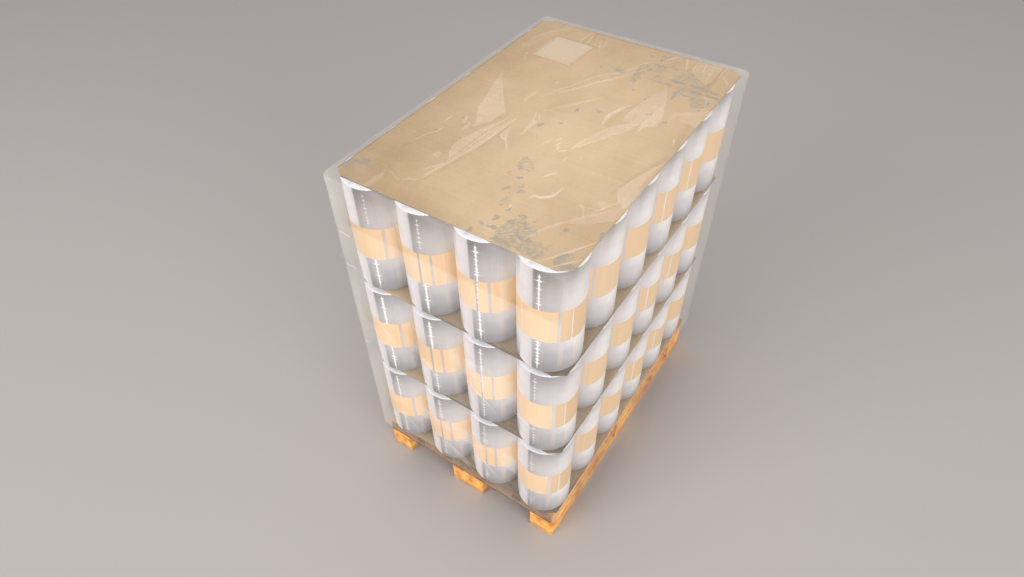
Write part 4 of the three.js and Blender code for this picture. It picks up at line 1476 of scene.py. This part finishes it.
def lay_flap(flap_haze, outline):
    """Points, faces and haze of a flat flap, split finely enough to follow the noise."""
    flap = bmesh.new()
    flap.faces.new([flap.verts.new(on_top(corner, fold_lift_mm)) for corner in outline])
    bmesh.ops.triangulate(flap, faces=flap.faces[:])
    bmesh.ops.subdivide_edges(flap, edges=flap.edges[:], cuts=flap_cuts, use_grid_fill=True)
    for vertex in flap.verts:
        vertex.co.z += flap_rise_mm * MM * (1 + rough(vertex.co, flap_wave_mm, 5))
    points, faces = taken(flap)
    return points, faces, [flap_haze + flap_haze_gain + flap_cloud * rough(point, flap_cloud_mm, 9)
                           for point in points]


def lay_crease(half_width_mm, crease_haze, line, surface):
    """Points, faces and haze of a crease: a strip with a ridge, which narrows to both ends."""
    centre = smooth_line(line, crease_step_mm)
    points, haze = [], []
    for index, point in enumerate(centre):
        run = (centre[min(index + 1, len(centre) - 1)] - centre[max(index - 1, 0)]).normalized()
        across = Vector((-run.y, run.x)) * crease_spread
        share = (index + crease_tip) / (len(centre) - 1 + 2 * crease_tip)
        taper = math.sin(math.pi * share) ** crease_blunt
        for side, rise_mm in ((-1, 0), (crease_ridge, crease_rise_mm), (1, 0)):
            points.append(surface(point + across * side * half_width_mm * taper, fold_lift_mm + rise_mm))
            haze.append(crease_gain * crease_haze * taper - crease_end_loss * (1 - taper))
    faces = [(start, start + 3, start + 4, start + 1)
             for strip in range(0, 3 * len(centre) - 3, 3) for start in (strip, strip + 1)]
    return points, faces, haze


print("points of the first flap:", len(lay_flap(*flaps[0])[0]))

# %% Lay the folds
fold_points, fold_faces, fold_haze = [], [], []
for strip_points, strip_faces, strip_haze in (
        *(lay_flap(*flap) for flap in flaps),
        *(lay_crease(*crease, on_top) for crease in creases),
        *(lay_crease(*streak, on_left_wall) for streak in wall_streaks)):
    first = len(fold_points)
    fold_points += strip_points
    fold_faces += [[first + index for index in face] for face in strip_faces]
    fold_haze += strip_haze
folds = make_piece("film_folds", fold_points, fold_faces, film, smooth_angle=60)
keep_values(folds, "haze", fold_haze)
folds.visible_shadow = False
print("folds:", len(folds.data.polygons), "faces")

# %% [markdown]
# ## The label
#
# A square of cream paper is stuck on the top, near the right back corner. It is bare, and its edges have
# browned a little with handling. Paper follows what it lies on, so it is a fine grid with slightly lifted
# corners.

# %% Stick the label on
label_cells = 32
label_thickness_mm = 0.3
label_curl_mm, label_curl_power = 0.25, 6        # the power says how close to the edge it keeps
label_edge_wear, label_wear_power = 0.55, 12
label_flakes, label_grain = 12.0, 40.0           # noise waves across the label's width
flake_depth, brown_starts, brown_full, brown_cover = 0.6, 0.25, 1.5, 0.8


def label_paper():
    material, tree, shader = new_material("label_paper_cream", Roughness=0.7, IOR=1.5)
    place = kept_place(tree, "label_place")     # from 0 to 1 along and across the label
    flakes = add(tree, "TexNoise", {"Vector": place, "Scale": label_flakes, "Detail": 3.0})
    grain = add(tree, "TexNoise", {"Vector": place, "Scale": label_grain, "Detail": 2.0})
    depth = times_plus(tree, flakes, flake_depth, kept_number(tree, "wear"))
    paper = ramp(tree, grain, ((0.3, "#E0C8AB"), (0.7, "#E9D3B7")))
    browned = span(tree, depth, brown_starts, brown_full, 0.0, brown_cover)
    drive(tree, shader, Base_Color=mixed(tree, browned, paper, linear("#B1967A")))
    return material


outline = [vertex.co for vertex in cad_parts["delivery_label"].data.vertices]
label_top = max(point.z for point in outline)
corners = sorted({
    (round(point.x, 5), round(point.y, 5), label_top)
    for point in outline if abs(point.z - label_top) < 0.1 * MM})
middle = sum(map(Vector, corners), Vector()) / len(corners)
corners = sorted(map(Vector, corners),
                 key=lambda corner: math.atan2(corner.y - middle.y, corner.x - middle.x))
points, places, edge_wear = [], [], []
for k in range(label_cells + 1):
    for i in range(label_cells + 1):
        u, v = i / label_cells, k / label_cells
        point = corners[0].lerp(corners[1], u).lerp(corners[3].lerp(corners[2], u), v)
        to_edge = max(abs(u - 0.5), abs(v - 0.5)) * 2      # 0 at the middle and 1 on an edge
        point.z = label_top - label_curl_mm * MM * (1 - to_edge ** label_curl_power)
        points.append(point)
        places.append((u, v, 0))
        edge_wear.append(label_edge_wear * to_edge ** label_wear_power)
label = make_piece("label_square", points, grid_faces(label_cells, label_cells), label_paper(),
                   smooth_angle=40)
keep_values(label, "label_place", places)
keep_values(label, "wear", edge_wear)
thicken(label, "paper thickness", label_thickness_mm * MM)
label.visible_shadow = False    # it lies against the board, so no shadow may show round it
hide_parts("delivery_label")
print("label corners:", [tuple(round(c, 3) for c in corner) for corner in corners])

# %% [markdown]
# ## The studio
#
# A plain pale floor without a visible edge, a pale surrounding, and three large soft lamps: two strong ones
# beyond the left end and beyond the near corner, and a weak one above. Large lamps give soft shadows, as a
# cloudy sky does. Their level is set so that a white surface turned to the light renders just under white.

# %% Floor, surroundings and lamps
floor_half_m, floor_drop_mm = 30, 0.5      # just under the load, so that no two faces share a height
surroundings_hex, surroundings_strength = "#EFEDEC", 0.58
# Each lamp: its place and its size in metres, and its power in watts. All are aimed at the load's middle.
lamps = {"lamp_left": ((-8.2, 2.9, 4.4), 5.6, 400),
         "lamp_near_corner": ((-3.4, -8.2, 3.0), 5.2, 392),
         "lamp_above": ((0.3, 0.3, 6.5), 4.5, 64)}

floor_mesh = bpy.data.meshes.new("floor")
floor_corners = ((-1, -1), (1, -1), (1, 1), (-1, 1))
floor_mesh.from_pydata(
    [(x * floor_half_m, y * floor_half_m, -floor_drop_mm * MM) for x, y in floor_corners],
    [], [(0, 1, 2, 3)])
floor = bpy.data.objects.new("floor", floor_mesh)
bpy.context.collection.objects.link(floor)
floor_mesh.materials.append(
    new_material("floor_pale_plain", Roughness=0.9, Base_Color=linear("#C0BBB8"))[0])
floor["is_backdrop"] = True

world = bpy.data.worlds.new("studio")
bpy.context.scene.world = world
world.use_nodes = True
world.node_tree.nodes["Background"].inputs["Color"].default_value = linear(surroundings_hex)
world.node_tree.nodes["Background"].inputs["Strength"].default_value = surroundings_strength

for name, (place, size, watts) in lamps.items():
    lamp = bpy.data.lights.new(name, "AREA")
    lamp.shape = "SQUARE"
    lamp.size = size
    lamp.energy = watts
    holder = bpy.data.objects.new(name, lamp)
    holder.location = place
    holder.rotation_euler = (load_middle - Vector(place)).to_track_quat("-Z", "Y").to_euler()
    bpy.context.collection.objects.link(holder)
print("lamps:", *lamps)

# %% [markdown]
# ## The size after dressing
#
# Blender dresses the CAD part, so the dressed load's size is printed as its difference from the CAD box.

# %% Compare both boxes
dressed_low, dressed_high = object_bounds()
growth = [(b - a) * 1000 for a, b in zip(cad_high - cad_low, dressed_high - dressed_low)]
print("dressed minus CAD size, mm:", [round(g, 2) for g in growth])
